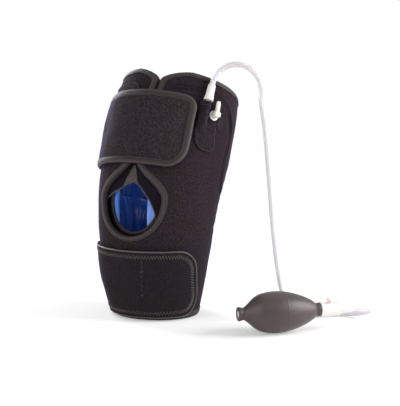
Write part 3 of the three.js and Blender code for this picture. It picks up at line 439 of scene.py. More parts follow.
def two_skins(name, outer, inner, uv, key, joined=None, sharp=40):
    """Closed body of an outer and an inner grid with walls round their borders.
    joined marks the rows whose last column is the first one again."""
    rows, columns = outer.shape[:2]
    numbers = np.arange(2 * rows * columns).reshape(2, rows, columns)
    joined = np.zeros(rows, bool) if joined is None else joined
    same = numbers.copy()
    same[:, joined, -1] = same[:, joined, 0]
    top, under = numbers
    open_cells = ~(joined[:-1] & joined[1:])
    a, b = np.concatenate([
        np.stack([top[0, :-1], top[0, 1:]], -1), np.stack([top[-1, 1:], top[-1, :-1]], -1),
        np.stack([top[:-1, -1], top[1:, -1]], -1)[open_cells],
        np.stack([top[1:, 0], top[:-1, 0]], -1)[open_cells]]).T
    shift = rows * columns
    walls = np.stack([b, a, a + shift, b + shift], -1)
    cells = np.concatenate([grid_cells(top), grid_cells(under)[:, ::-1], walls])
    flat_uv = np.concatenate([uv.reshape(-1, 2)] * 2)
    points = np.concatenate([outer.reshape(-1, 3), inner.reshape(-1, 3)])
    return put_mesh(name, points, same.ravel()[cells], key, flat_uv[cells], sharp=sharp)


def layer(name, around, along, over, under, key):
    """Layer of fabric between two heights over the form, on a grid of distances round and along."""
    around, along = np.broadcast_arrays(around, along)
    return two_skins(name, wrap_point(around, along, over), wrap_point(around, along, under),
                     np.stack([around, along], -1), key)


def ring_grid(name, points, uv, key, closed, sharp):
    """Body from rings whose last point is the first one again: joined end to end, or capped at both ends."""
    numbers = np.arange(points.shape[0] * points.shape[1]).reshape(points.shape[:2])
    same = numbers.copy()
    same[:, -1] = same[:, 0]
    if closed:
        same[-1] = same[0]
    cells = grid_cells(numbers)
    caps = () if closed else (same[0, :-1][::-1], same[-1, :-1])
    corner_uv = uv.reshape(-1, 2)[cells]
    return put_mesh(name, points.reshape(-1, 3), same.ravel()[cells], key, corner_uv, caps, sharp)


def carried(name, rings, key, closed=False):
    """Closed section carried along a line of rings, joined to itself or capped at both ends."""
    wrapped = np.concatenate([rings, rings[:, :1]], 1)
    return ring_grid(name, wrapped, walk_uv(rings), key, closed, 40)


def soft_corners(profile, radius, closed=False):
    """Profile whose corners are quadratic curves that start and end a radius away from each corner."""
    line = np.asarray(profile, float)
    before = np.roll(line, 1, 0) if closed else line[:-2]
    corner = line if closed else line[1:-1]
    after = np.roll(line, -1, 0) if closed else line[2:]
    to_before = before - corner
    to_after = after - corner
    size_before = np.linalg.norm(to_before, axis=1, keepdims=True)
    size_after = np.linalg.norm(to_after, axis=1, keepdims=True)
    reach = np.minimum(radius, 0.45 * np.minimum(size_before, size_after))
    start = corner + to_before / size_before * reach
    end = corner + to_after / size_after * reach
    t = np.linspace(0, 1, 5)[None, :, None]
    curves = (1 - t) ** 2 * start[:, None] + 2 * t * (1 - t) * corner[:, None] + t**2 * end[:, None]
    curves = curves.reshape(-1, 2)
    return curves if closed else np.concatenate([line[:1], curves, line[-1:]])


def local_axes(along, near):
    """Three directions: the second lies along, the third is as near as it can be to the given one."""
    y = unit(np.asarray(along, float))
    x = unit(np.cross(y, near))
    return x, y, np.cross(x, y)


def lathe(name, profile, origin, along, near, key, soft=0.0, closed=True, sides=72, outline=None, sharp=35):
    """Profile of radius and height turned round an axis, its corners softened by a radius.
    outline gives a factor of the radius at each angle.
    A profile that isn't closed starts and ends near the axis and gets a flat face there."""
    if soft:
        profile = soft_corners(profile, soft, closed)
    x, y, z = local_axes(along, near)
    turn = np.linspace(0, 2 * np.pi, sides + 1)
    factor = np.ones_like(turn) if outline is None else outline(turn)
    line = np.concatenate([profile, profile[:1]]) if closed else np.asarray(profile)
    ring = np.cos(turn)[:, None] * z + np.sin(turn)[:, None] * x
    points = origin + line[:, 1, None, None] * y + (line[:, 0, None] * factor)[..., None] * ring
    widest = np.abs(line[:, 0]).max()
    uv = np.stack(np.broadcast_arrays(turn[None, :] * widest, walked(line)[:, None]), -1)
    return ring_grid(name, points, uv, key, closed, sharp)


def even_line(points, step):
    """The same line with its points about a step apart."""
    walk = walked(points)
    count = max(int(round(walk[-1] / step)), 2)
    at = np.linspace(0, walk[-1], count + 1)
    return np.stack([np.interp(at, walk, points[:, k]) for k in range(points.shape[1])], 1)


def curve_through(points, per_span):
    """Centripetal Catmull-Rom curve: a cubic over each span, with knots at the square roots of distances."""
    line = np.concatenate([[2 * points[0] - points[1]], points, [2 * points[-1] - points[-2]]])
    p0, p1, p2, p3 = (line[k:len(line) - 3 + k][:, None] for k in range(4))
    spans = ((p0, p1), (p1, p2), (p2, p3))
    d0, d1, d2 = (np.sqrt(np.linalg.norm(b - a, axis=-1, keepdims=True)) for a, b in spans)
    m1 = ((p1 - p0) / d0 - (p2 - p0) / (d0 + d1) + (p2 - p1) / d1) * d1
    m2 = ((p2 - p1) / d1 - (p3 - p1) / (d1 + d2) + (p3 - p2) / d2) * d1
    t = np.linspace(0, 1, per_span + 1)[:-1][None, :, None]
    cubic = (2 * t**3 - 3 * t**2 + 1) * p1 + (t**3 - 2 * t**2 + t) * m1
    cubic = cubic + (3 * t**2 - 2 * t**3) * p2 + (t**3 - t**2) * m2
    return np.concatenate([cubic.reshape(-1, 3), points[-1:]])


def flat_curve(points, per_span, step):
    """The same kind of curve through points of two coordinates, with its points about a step apart."""
    flat = np.concatenate([points, np.zeros((len(points), 1))], 1)
    return even_line(curve_through(flat, per_span), step)[:, :2]


def tube_axes(line):
    """Two directions square to a line that turn as little as they can from each point to the next."""
    ahead = unit(np.gradient(line, axis=0))
    side = unit(np.cross(ahead[0], np.array([0.3, -0.5, 0.81])))
    sides = []
    for way in ahead:
        side = unit(side - way * (side @ way))
        sides.append(side)
    sides = np.array(sides)
    return sides, np.cross(ahead, sides)


def tube_rings(line, radius, sides):
    """Rings of a tube: circles of the given radius, which may change along it, square to the line."""
    first, second = tube_axes(line)
    turn = np.linspace(0, 2 * np.pi, sides, endpoint=False)
    radius = np.broadcast_to(radius, len(line))[:, None, None]
    circle = np.cos(turn)[None, :, None] * first[:, None] + np.sin(turn)[None, :, None] * second[:, None]
    return line[:, None] + radius * circle


def walk_uv(rings):
    """Pattern coordinates in metres: across the section, and along the line of rings."""
    across = walked(np.concatenate([rings, rings[:, :1]], 1)[0])
    return np.stack(np.broadcast_arrays(across[None, :], walked(rings.mean(1))[:, None]), -1)


def stitches(name, starts, ends, off, key="thread", size=1.0):
    """Small capsules, one for each stitch, that swell in the middle and dip into the cloth at both ends.
    Each is six rings of six points, with two four-cornered faces over either end."""
    radius = sizes("wrap").stitch_radius * size
    t = np.array([0, 0.12, 0.35, 0.65, 0.88, 1])
    swell = radius * np.array([0.35, 0.85, 1, 1, 0.85, 0.35])
    dip = radius * (np.array([-1.2, 0, 0.5, 0.5, 0, -1.2]) + 0.65)
    turn = np.linspace(0, 2 * np.pi, 6, endpoint=False)
    way = unit(ends - starts)
    side = unit(np.cross(way, off))
    lift = np.cross(side, way)
    middle = starts[:, None] + (ends - starts)[:, None] * t[:, None] + lift[:, None] * dip[:, None]
    ring = np.cos(turn)[None, :, None] * side[:, None] + np.sin(turn)[None, :, None] * lift[:, None]
    points = middle[:, :, None] + swell[None, :, None, None] * ring[:, None]
    numbers = np.arange(points[..., 0].size).reshape(points.shape[:3])
    nearby = np.roll(numbers, -1, 2)
    cells = np.stack([numbers[:, :-1], nearby[:, :-1], nearby[:, 1:], numbers[:, 1:]], -1).reshape(-1, 4)
    halves = [numbers[:, end][:, order] for end, order in (
        (0, [0, 5, 4, 3]), (0, [0, 3, 2, 1]), (-1, [0, 1, 2, 3]), (-1, [0, 3, 4, 5]))]
    return put_mesh(name, points.reshape(-1, 3), np.concatenate([cells, *halves]), key, sharp=80)


def form_line_stitches(name, angle, along, lift):
    """Running stitches along a line on the form."""
    places = np.concatenate([form_point(angle, along, lift), np.stack([angle, along], 1)], 1)
    line = even_line(places, sizes("wrap").stitch_pitch)
    off = form_frame(line[:, 3], line[:, 4])[2]
    return run_stitches(name, line[:, :3], off)


def run_stitches(name, line, off):
    """One stitch from each point of a line towards the next one, with a gap before that."""
    ends = line[:-1] + (line[1:] - line[:-1]) * STITCH_FILL
    return stitches(name, line[:-1], ends, off[:-1])


# Settings of nodes that mix colours, multiply, and change smoothly from one value to another
COLOURS = {"data_type": "RGBA"}
TIMES = {"operation": "MULTIPLY"}
SMOOTH = {"interpolation_type": "SMOOTHSTEP"}


def add_node(tree, kind, settings=None, inputs=None):
    """Adds a shader node. Settings are its attributes, and inputs are values, outputs of other nodes, or
    nodes that stand for the first of their outputs in use."""
    node = tree.nodes.new("ShaderNode" + kind)
    for key, value in (settings or {}).items():
        setattr(node, key, value)
    for key, value in (inputs or {}).items():
        if isinstance(value, bpy.types.Node):
            value = next(output for output in value.outputs if output.enabled)
        if isinstance(value, bpy.types.NodeSocket):
            tree.links.new(value, node.inputs[key])
        else:
            node.inputs[key].default_value = value
    return node


def begin_material(name):
    """New material with an empty tree of nodes; returns it, its tree and the object's own coordinates."""
    material = bpy.data.materials.new(name)
    material.use_nodes = True
    tree = material.node_tree
    tree.nodes.clear()
    return material, tree, add_node(tree, "TexCoord").outputs["Object"]


def end_material(material, inputs):
    """Gives a material its surface shader, with values and links, and returns it."""
    shader = add_node(material.node_tree, "BsdfPrincipled", inputs=inputs)
    add_node(material.node_tree, "OutputMaterial", inputs={"Surface": shader})
    return material


def rgba(colour_value, factor=1.0):
    """Colour for a node, made lighter or darker by a factor."""
    return tuple(min(part * factor, 1.0) for part in colour_value) + (1.0,)


def napped_fabric(name, base, pile=1.6 * MM, strength=0.55, glow=0.42):
    """Laminated foam fabric with a short brushed nap: matt, lightly flecked, with a cool sheen at low angles.
    The nap's real pitch is about 0.4 mm, drawn at 1.6 mm so that it shows."""
    sheen = sizes("finish").fabric_sheen
    material, tree, place = begin_material(name)
    nap = add_node(tree, "TexNoise", inputs={
        "Vector": place, "Scale": 1 / pile, "Detail": 3.0, "Roughness": 0.65})
    patch = add_node(tree, "TexNoise", inputs={"Vector": place, "Scale": 1 / (45 * MM), "Detail": 2.0})
    fleck = add_node(tree, "MapRange", inputs={"Value": nap, "From Min": 0.35, "From Max": 0.68})
    tone = add_node(tree, "Mix", COLOURS, {"Factor": fleck, 6: rgba(base, 0.45), 7: rgba(base, 1.8)})
    shade = add_node(tree, "MapRange", inputs={
        "Value": patch, "From Min": 0.3, "From Max": 0.7, "To Max": 0.08})
    mixed = add_node(tree, "Mix", COLOURS, {"Factor": shade, 6: tone, 7: rgba(sheen, 0.16)})
    bump = add_node(tree, "Bump", inputs={"Strength": strength, "Distance": 0.5 * MM, "Height": nap})
    return end_material(material, {
        "Base Color": mixed, "Normal": bump, "Roughness": 0.92, "IOR": 1.45, "Specular IOR Level": 0.1,
        "Sheen Weight": glow, "Sheen Roughness": 0.2, "Sheen Tint": rgba(sheen)})


def ribbed_tape(name, base, painted_highlight_colour):
    """Woven stretch binding: soft satin with fine ribs across it, 1.5 mm apart.
    Along its crown, 2.2 to 5.8 mm from the sewn edge, a lighter colour is painted in as a painted highlight."""
    material, tree, place = begin_material(name)
    run = add_node(tree, "UVMap", {"uv_map": "surface"})
    ribs = add_node(tree, "TexWave", {"wave_type": "BANDS", "bands_direction": "Y"}, {
        "Vector": run, "Scale": 0.314 / (1.5 * MM), "Distortion": 1.2, "Detail": 1.0, "Detail Scale": 2.0})
    grain = add_node(tree, "TexNoise", inputs={"Vector": place, "Scale": 1 / (1.3 * MM), "Detail": 3.0})
    both = add_node(tree, "Math", TIMES, {0: ribs.outputs["Fac"], 1: grain})
    across = add_node(tree, "SeparateXYZ", inputs={"Vector": run})
    # Painted highlight: a band along the crown, found by its distance across the tape, is mixed towards a
    # lighter colour
    rises = add_node(tree, "MapRange", SMOOTH, {
        "Value": across, "From Min": 2.2 * MM, "From Max": 3.6 * MM})
    falls = add_node(tree, "MapRange", SMOOTH, {
        "Value": across, "From Min": 3.8 * MM, "From Max": 5.8 * MM, "To Min": 1.0, "To Max": 0.0})
    crown = add_node(tree, "Math", TIMES, {0: rises, 1: falls})
    painted_highlight = add_node(tree, "Math", TIMES, {0: crown, 1: 0.45})
    plain = add_node(tree, "Mix", COLOURS, {"Factor": both, 6: rgba(base, 0.7), 7: rgba(base, 1.5)})
    tone = add_node(tree, "Mix", COLOURS, {"Factor": painted_highlight, 6: plain, 7: rgba(painted_highlight_colour)})
    bump = add_node(tree, "Bump", inputs={"Strength": 0.5, "Distance": 0.3 * MM, "Height": both})
    return end_material(material, {
        "Base Color": tone, "Normal": bump, "Roughness": 0.6, "IOR": 1.45, "Specular IOR Level": 0.3,
        "Sheen Weight": 0.2, "Sheen Roughness": 0.3, "Sheen Tint": rgba(sizes("finish").fabric_sheen)})


def hook_tape(name):
    """Moulded nylon hooks on a woven ground: near black, with rows of dots 1.8 mm apart."""
    material, tree, place = begin_material(name)
    dots = add_node(tree, "TexVoronoi", inputs={"Vector": place, "Scale": 1 / (1.8 * MM), "Randomness": 0.25})
    tone = add_node(tree, "Mix", COLOURS, {
        "Factor": dots, 6: rgba(linear("#3a373b")), 7: rgba(linear("#131214"))})
    bump = add_node(tree, "Bump", {"invert": True}, {"Strength": 0.9, "Distance": 0.8 * MM, "Height": dots})
    return end_material(material, {"Base Color": tone, "Normal": bump, "Roughness": 0.6, "IOR": 1.5})


def gel_film(name, base, light):
    """Glossy film over gel: deep blue, with lighter streaks painted into its colour as painted highlights,
    and wet highlights from its coat.
    """
    material, tree, place = begin_material(name)
    drawn = add_node(tree, "Mapping", inputs={"Vector": place, "Scale": (3.0, 3.0, 0.7)})
    streaks = add_node(tree, "TexNoise", inputs={
        "Vector": drawn, "Scale": 1 / (28 * MM), "Detail": 3.0, "Distortion": 0.6})
    # Painted highlight: where the streaks are strong, the film's colour is mixed towards the lighter blue
    reach = add_node(tree, "MapRange", inputs={
        "Value": streaks, "From Min": 0.48, "From Max": 0.75, "To Max": 0.9})
    tone = add_node(tree, "Mix", COLOURS, {"Factor": reach, 6: rgba(base), 7: rgba(light)})
    bump = add_node(tree, "Bump", inputs={"Strength": 0.6, "Distance": 1.5 * MM, "Height": streaks})
    return end_material(material, {
        "Base Color": tone, "Normal": bump, "Roughness": 0.2, "IOR": 1.5,
        "Coat Weight": 0.6, "Coat Roughness": 0.08, "Coat IOR": 1.5})


def clouded(name, low, high, cloud, shader, grain=None, matt=None):
    """Material whose colour drifts from one to another in soft clouds. cloud is their size and detail, grain
    the size, detail, strength and depth of fine bumps, and matt the range that clouds give the roughness."""
    material, tree, place = begin_material(name)
    clouds = add_node(tree, "TexNoise", inputs={"Vector": place, "Scale": 1 / cloud[0], "Detail": cloud[1]})
    tone = add_node(tree, "Mix", COLOURS, {"Factor": clouds, 6: low, 7: high})
    inputs = {"IOR": 1.5, "Base Color": tone, **shader}
    if grain:
        size, detail, strength, depth = grain
        grains = add_node(tree, "TexNoise", inputs={"Vector": place, "Scale": 1 / size, "Detail": detail})
        inputs["Normal"] = add_node(tree, "Bump", inputs={
            "Strength": strength, "Distance": depth, "Height": grains})
    if matt:
        inputs["Roughness"] = add_node(tree, "MapRange", inputs={"Value": clouds, **matt})
    return end_material(material, inputs)


def sewing_thread(name, base):
    """Twisted polyester thread: a little glossier than the cloth, so that each stitch catches the light."""
    return clouded(name, rgba(base, 0.6), rgba(base, 1.3), (0.6 * MM, 2), {
        "Roughness": 0.5, "Sheen Weight": 0.2})


def welded_film(name):
    """Grey welded film of the air bladder: smooth, faintly cloudy."""
    return clouded(name, rgba(linear("#4c535e")), rgba(linear("#6c7480")), (18 * MM, 3), {"Roughness": 0.35})


def moulded_plastic(name, base):
    """Injection moulded fitting: white and softly glossy, with a very fine grain and light that soaks in."""
    return clouded(name, rgba(base, 0.93), rgba(base), (14 * MM, 1), {
        "Roughness": 0.34, "Subsurface Weight": 0.12, "Subsurface Scale": 1.5 * MM},
        grain=(0.9 * MM, 2, 0.12, 0.1 * MM))


def clear_hose(name, base):
    """Extruded clear PVC: milky and translucent, with bright walls and a greyer middle over the bore."""
    return clouded(name, rgba(base, 0.9), rgba(base), (9 * MM, 2), {
        "Roughness": 0.42, "IOR": 1.3, "Transmission Weight": 0.35, "Coat Weight": 0.25,
        "Coat Roughness": 0.12, "Subsurface Weight": 0.25, "Subsurface Scale": 2 * MM})


def moulded_rubber(name, base, roughness=0.46):
    """Moulded rubber: dark satin with a fine talc-dusted grain that spreads the highlight."""
    return clouded(name, rgba(base, 0.82), rgba(base, 1.25), (22 * MM, 3), {
        "Specular IOR Level": 0.55, "Sheen Weight": 0.12, "Sheen Roughness": 0.5},
        grain=(0.8 * MM, 3, 0.18, 0.15 * MM),
        matt={"From Min": 0.3, "From Max": 0.7, "To Min": roughness - 0.05, "To Max": roughness + 0.08})


def drawn_steel(name):
    """Drawn stainless steel: bright, with fine lines that blur its reflections."""
    return clouded(name, rgba(linear("#9fa2a6")), rgba(linear("#d3d6da")), (0.5 * MM, 2), {"Metallic": 1.0},
                   matt={"To Min": 0.18, "To Max": 0.36})


MATERIALS = {}


def material_of(key):
    """The material of a finish, made the first time that a piece asks for it.
    Each row holds the function that makes it, its name and its values."""
    finish = sizes("finish")
    makers = {
        "fabric": (napped_fabric, "laminated_foam_fabric", finish.fabric),
        "strap": (napped_fabric, "brushed_loop_fabric", finish.strap_fabric, 2.2 * MM, 0.55, 0.8),
        "lower": (napped_fabric, "laminated_strap_foam", finish.lower_fabric, 1.4 * MM),
        # The lining's colour is partly painted shade
        "lining": (napped_fabric, "brushed_lining", finish.lining, 1.2 * MM, 0.3),
        "gusset": (napped_fabric, "stretch_gusset", finish.gusset, 1.2 * MM, 0.3),
        "tape": (ribbed_tape, "woven_binding_tape", finish.tape, finish.tape_painted_highlight),
        "thread": (sewing_thread, "polyester_thread", finish.thread),
        "zigzag": (sewing_thread, "polyester_zigzag_thread", finish.zigzag),
        "hook": (hook_tape, "nylon_hook_tape"),
        "gel": (gel_film, "gel_pack_film", finish.gel, finish.gel_painted_highlight),
        "film": (welded_film, "welded_bladder_film"),
        "plastic": (moulded_plastic, "moulded_white_plastic", finish.plastic),
        "hose": (clear_hose, "clear_pvc_hose", finish.hose),
        "rubber": (moulded_rubber, "moulded_bulb_rubber", finish.rubber),
        "seal": (moulded_rubber, "moulded_seal_rubber", linear("#2a2a2c"), 0.55),
        "steel": (drawn_steel, "drawn_stainless_steel"),
    }
    if key not in MATERIALS:
        maker, *values = makers[key]
        MATERIALS[key] = maker(*values)
    return MATERIALS[key]


def dress(piece, body, slot, *nodes):
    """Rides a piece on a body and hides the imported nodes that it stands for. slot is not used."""
    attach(piece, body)
    if nodes:
        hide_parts(*nodes)


def fitting(name, profile, place, soft, body, *nodes):
    """White plastic fitting: a closed profile in millimetres with soft corners, turned round an axis.
    place is its origin, its direction and its upper side."""
    piece = lathe(name, MM * np.array(profile), *place, "plastic", soft=soft * MM)
    dress(piece, body, "white_plastic", *nodes)


def coat(node, key):
    """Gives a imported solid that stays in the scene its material."""
    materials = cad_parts[node].data.materials
    materials.clear()
    materials.append(material_of(key))


def fabric_wave(angle, along):
    """Soft waves of used fabric: broad ones everywhere, and creases behind the knee's bend."""
    points = form_point(angle, along, 0)
    broad = ripple(points, 62 * MM, 3) * 0.55 + ripple(points, 27 * MM, 5) * 0.25
    behind = smoothstep(np.abs((angle + np.pi) % (2 * np.pi) - np.pi), math.radians(95), math.radians(150))
    at_bend = np.exp(-((along - 150 * MM) / (45 * MM)) ** 2)
    creases = np.sin(2 * np.pi * along / (17 * MM) + 2.2 * ripple(points, 90 * MM, 8))
    return sizes("wrap").fabric_ripple * (broad + 1.1 * behind * at_bend * creases)


class KNEEWRAP_OT_stage(bpy.types.Operator):
    """Camera, lamps, world and pale floor."""

    bl_idname = "kneewrap.stage"
    bl_label = "Stage"

    def execute(self, context):
        stage = sizes("stage")
        scene = context.scene
        scene.view_settings.view_transform = "Standard"
        self.add_camera(scene, stage)
        self.add_lamp("front_lamp", (-0.55, -1.95, 1.1), (0.02, 0, 0.15), 1.5, stage.key_power)
        self.add_lamp("inner_side_lamp", (1.45, 0.6, 0.8), (0, 0, 0.15), 1.0, 1.5 * stage.side_power)
        self.add_lamp("outer_side_lamp", (-1.5, 0.55, 0.8), (0, 0, 0.15), 1.0, stage.side_power)
        self.light_world(scene, stage.world_light)
        self.add_floor(scene)
        return {"FINISHED"}

    def add_camera(self, scene, stage):
        """Camera that looks at the wrap's middle, moved a little aside to take in the bulb."""
        az, el = stage.azimuth, stage.elevation
        back = np.array([math.sin(az) * math.cos(el), -math.cos(az) * math.cos(el), math.sin(el)])
        right = np.array([math.cos(az), math.sin(az), 0.0])
        up = np.cross(back, right)
        middle = MM * np.array([0, 12, 150]) + SHIFT
        place = middle + back * stage.distance + right * 51.35 * MM - up * 9.1 * MM
        camera = bpy.data.objects.new("camera", bpy.data.cameras.new("camera"))
        camera.matrix_world = Matrix(np.column_stack([right, up, back, place]).tolist() + [[0, 0, 0, 1]])
        camera.data.sensor_fit = "VERTICAL"
        camera.data.sensor_height = 36
        camera.data.lens = stage.lens
        scene.collection.objects.link(camera)
        scene.camera = camera

    def add_lamp(self, name, place, aim, size, power):
        lamp = bpy.data.lights.new(name, "AREA")
        lamp.shape = "DISK"
        lamp.size = size
        lamp.energy = power
        holder = bpy.data.objects.new(name, lamp)
        holder.location = place
        holder.rotation_euler = (Vector(aim) - Vector(place)).to_track_quat("-Z", "Y").to_euler()
        bpy.context.scene.collection.objects.link(holder)

    def seen(self, tree):
        """1 for rays that the camera sends out or that clear plastic lets through, and 0 for all others."""
        rays = add_node(tree, "LightPath").outputs
        return add_node(tree, "Math", {"operation": "MAXIMUM"}, {
            0: rays["Is Camera Ray"], 1: rays["Is Transmission Ray"]})

    def light_world(self, scene, strength):
        """World that lights evenly, and is white where it is seen."""
        world = bpy.data.worlds.new("studio")
        scene.world = world
        world.use_nodes = True
        tree = world.node_tree
        tree.nodes.clear()
        level = add_node(tree, "MapRange", inputs={"Value": self.seen(tree), "To Min": strength})
        light = add_node(tree, "Background", inputs={"Color": (1, 1, 1, 1), "Strength": level})
        add_node(tree, "OutputWorld", inputs={"Surface": light})

    def add_floor(self, scene):
        """Pale disc that keeps the shadow near the object and fades to the white of the world further out."""
        turn = np.linspace(0, 2 * np.pi, 96, endpoint=False)
        rim = np.stack([6 * np.cos(turn), 6 * np.sin(turn), np.full_like(turn, -0.0003)], 1)
        mesh = bpy.data.meshes.new("floor")
        mesh.from_pydata(rim.tolist(), [], [list(range(len(rim)))])
        floor = bpy.data.objects.new("floor", mesh)
        scene.collection.objects.link(floor)
        material, tree, place = begin_material("pale_floor")
        matt = add_node(tree, "BsdfDiffuse", inputs={"Color": rgba(linear("#f6f5f5"))})
        white = add_node(tree, "Emission", inputs={"Color": (1, 1, 1, 1), "Strength": 1.0})
        far = add_node(tree, "VectorMath", {"operation": "LENGTH"}, {0: place})
        fade = add_node(tree, "MapRange", SMOOTH, {
            "Value": far, "From Min": 0.3, "From Max": 1.0, "To Min": 0.35})
        amount = add_node(tree, "Math", TIMES, {0: fade, 1: self.seen(tree)})
        mixed = add_node(tree, "MixShader", inputs={0: amount, 1: matt, 2: white})
        add_node(tree, "OutputMaterial", inputs={"Surface": mixed})
        mesh.materials.append(material)


def inlet_line():
    """Direction of the inlet's foot off the fabric, its foot, corner and mouth, and the way to its mouth."""
    foot = wrap_point(INLET_ARC, INLET_ALONG, 0)
    off = wrap_frame(INLET_ARC, INLET_ALONG)[2]
    mouth = wrap_point(INLET_ARC, INLET_ALONG + INLET_REACH, INLET_LIFT)
    corner = foot + off * INLET_LIFT
    return off, foot, corner, mouth, unit(mouth - corner)


def cuff_line():
    """Start of the cuff on the inlet tube, its direction and its upper side."""
    off, *_, mouth, axis = inlet_line()
    return mouth - axis * CUFF_OVERLAP, axis, off


def hose_seat():
    """Radius in millimetres of the holes that take the hose."""
    return sizes("pump").hose_diameter / 2 / MM + 0.3


class KNEEWRAP_OT_cuff(bpy.types.Operator):
    """White cuff that pushes over the inlet tube, wider at its mouth, and the seal inside it."""

    bl_idname = "kneewrap.cuff"
    bl_label = "Hose cuff"

    def execute(self, context):
        seat = hose_seat()
        stop = CUFF_STOP / MM
        profile = [[4.3, 0], [6, 0], [6.05, 3.6], [5.5, 5.6], [5.2, 12], [4.9, 21.2], [4.5, 22], [seat, 22],
                   [seat, stop], [1.9, stop], [1.9, stop - 1], [4.3, stop - 1]]
        fitting("hose_cuff_moulded", profile, cuff_line(), 0.7, "pump", "hose_cuff")
        coat("cuff_seal", "seal")
        return {"FINISHED"}


class KNEEWRAP_OT_hose(bpy.types.Operator):
    """Clear hose with its bore, from the valve's nipple over the floor and up to the cuff."""

    bl_idname = "kneewrap.hose"
    bl_label = "Hose"

    def execute(self, context):
        start, axis, _ = cuff_line()
        first = start + axis * (CUFF_STOP + 0.4 * MM)
        last = BULB_TAIL + (NIPPLE_END + 0.3 * MM) * PUMP_AXIS + SHIFT
        floor = np.array([SHIFT[0], SHIFT[1], 0.0])
        points = np.concatenate([
            [first, first + axis * 13 * MM], HOSE_ROUTE + floor, [last + PUMP_AXIS * 14 * MM, last]])
        line = even_line(curve_through(points, 24), 2 * MM)[::-1]
        size = sizes("pump").hose_diameter
        rings = [tube_rings(line, diameter / 2, 28) for diameter in (size, sizes("pump").hose_bore)]
        skins = [np.concatenate([ring, ring[:, :1]], 1) for ring in rings]
        hose = two_skins("clear_hose", *skins, walk_uv(rings[0]), "hose", joined=np.ones(len(line), bool))
        dress(hose, "pump", "hose_plastic", "hose")
        return {"FINISHED"}


def cut_skin(name, rows, columns, inset, lifts, key):
    """Tube of fabric that is open along the cut: its columns run from one side of it round the back to the
    other. lifts gives the heights of its outer and its inner face."""
    half = cut_half(rows, inset)
    centre = slit_centre(rows)
    radius = mean_radius(rows)
    right = (centre + half) / radius
    left = (centre - half) / radius + 2 * np.pi
    angle = right[:, None] + (left - right)[:, None] * np.linspace(0, 1, columns)
    along = np.broadcast_to(rows[:, None], angle.shape)
    outer, inner = (form_point(angle, along, lift) for lift in lifts(angle, along))
    return two_skins(name, outer, inner, around_of(angle, along), key, joined=half <= 0)


class KNEEWRAP_OT_shell(bpy.types.Operator):
    """Outer tube of foam fabric with the keyhole opening, and the ridges of the panel on its inner side."""

    bl_idname = "kneewrap.shell"
    bl_label = "Foam shell"
    PANEL_EDGE = MM * np.array([
        [27, 276], [39, 278.5], [54, 281], [71, 282.5], [92, 281], [105, 278], [118, 273], [129, 263],
        [137, 251], [140.5, 236], [138, 219], [134.5, 204], [136, 188], [141, 172], [148, 158]])

    def execute(self, context):
        rows = cut_rows(0.0, WRAP_LENGTH)
        shell = cut_skin("foam_shell", rows, 190, 0.0, self.lifts, "fabric")
        dress(shell, "wrap", "foam_fabric", "outer_shell")
        self.add_panel_ridges()
        return {"FINISHED"}

    def lifts(self, angle, along):
        """Waves that fade out under the tapes and the straps, where the fabric is held down, and a crease on
        each side; the inner face is even."""
        around = angle * mean_radius(along)
        turn = 2 * np.pi * mean_radius(along)
        from_centre = np.abs((around - slit_centre(along) + turn / 2) % turn - turn / 2) - cut_half(along)
        near_cut = np.where(along > OPENING_MIDDLE - OPENING_DROP, from_centre, 30 * MM)
        near_rim = np.minimum(along, WRAP_LENGTH - along)
        free = smoothstep(np.minimum(near_cut, near_rim), 8 * MM, 22 * MM)
        sag = 3 * MM * np.sin(around / (14 * MM))
        inner_side = np.exp(-((around - 128 * MM) / (26 * MM)) ** 2)
        outer_side = np.exp(-((around - turn + 118 * MM) / (22 * MM)) ** 2)
        crease = 1.7 * MM * inner_side * np.exp(-((along - 117 * MM - sag) / (5 * MM)) ** 2)
        crease = crease + 1.2 * MM * outer_side * np.exp(-((along - 124 * MM - sag) / (6 * MM)) ** 2)
        return free * (np.minimum(fabric_wave(angle, along), 0.25 * MM) - crease), -SHELL_THICKNESS

    def add_panel_ridges(self):
        """Two cords under the fabric that follow the edge of the panel, from the slit round the inner side.
        They lie deeper at their ends and where the cuff passes over them when it is pulled off."""
        line = flat_curve(self.PANEL_EDGE, 12, 2 * MM)
        ahead = unit(np.gradient(line, axis=0))
        aside = np.stack([ahead[:, 1], -ahead[:, 0]], 1)
        for name, inset, size in (("panel_ridge_outer", 0.0, 1.0), ("panel_ridge_inner", 4.6 * MM, 0.8)):
            run = line + aside * inset
            lift = MM * np.interp(np.linspace(0, 1, len(run)), [0, 0.03, 0.97, 1], [-1.2, -0.2, -0.2, -1.4])
            lift = lift - 1 * MM * np.exp(-((run[:, 0] - INLET_ARC) / (7 * MM)) ** 4)
            rings = tube_rings(wrap_point(*run.T, lift), sizes("wrap").piping_radius * size, 12)
            dress(carried(name, rings, "fabric"), "wrap", "foam_fabric")


def cut_path(inset=0.0):
    """Edge of the cut from the right side of the rim, down, round the opening and up to the left side."""
    rise = np.linspace(math.asin(NOTCH_DEPTH / NOTCH_RISE), 0, 12)
    down = np.concatenate([
        NOTCH_FOOT + NOTCH_RISE * np.sin(rise),
        np.linspace(NOTCH_FOOT, OPENING_MIDDLE + OPENING_RISE, 32)[1:],
        np.linspace(OPENING_MIDDLE + OPENING_RISE, OPENING_MIDDLE, 26)[1:]])
    half = cut_half(down + 1e-9, inset)
    right = np.stack([slit_centre(down) + half, down], 1)
    left = np.stack([slit_centre(down) - half, down], 1)[::-1]
    turn = np.linspace(0, -np.pi, 60)[1:-1]
    bowl = np.stack([OPENING_CENTRE + (OPENING_HALF_WIDTH - inset) * np.cos(turn),
                     OPENING_MIDDLE + (OPENING_DROP - inset) * np.sin(turn)], 1)
    return np.concatenate([right, bowl, left])


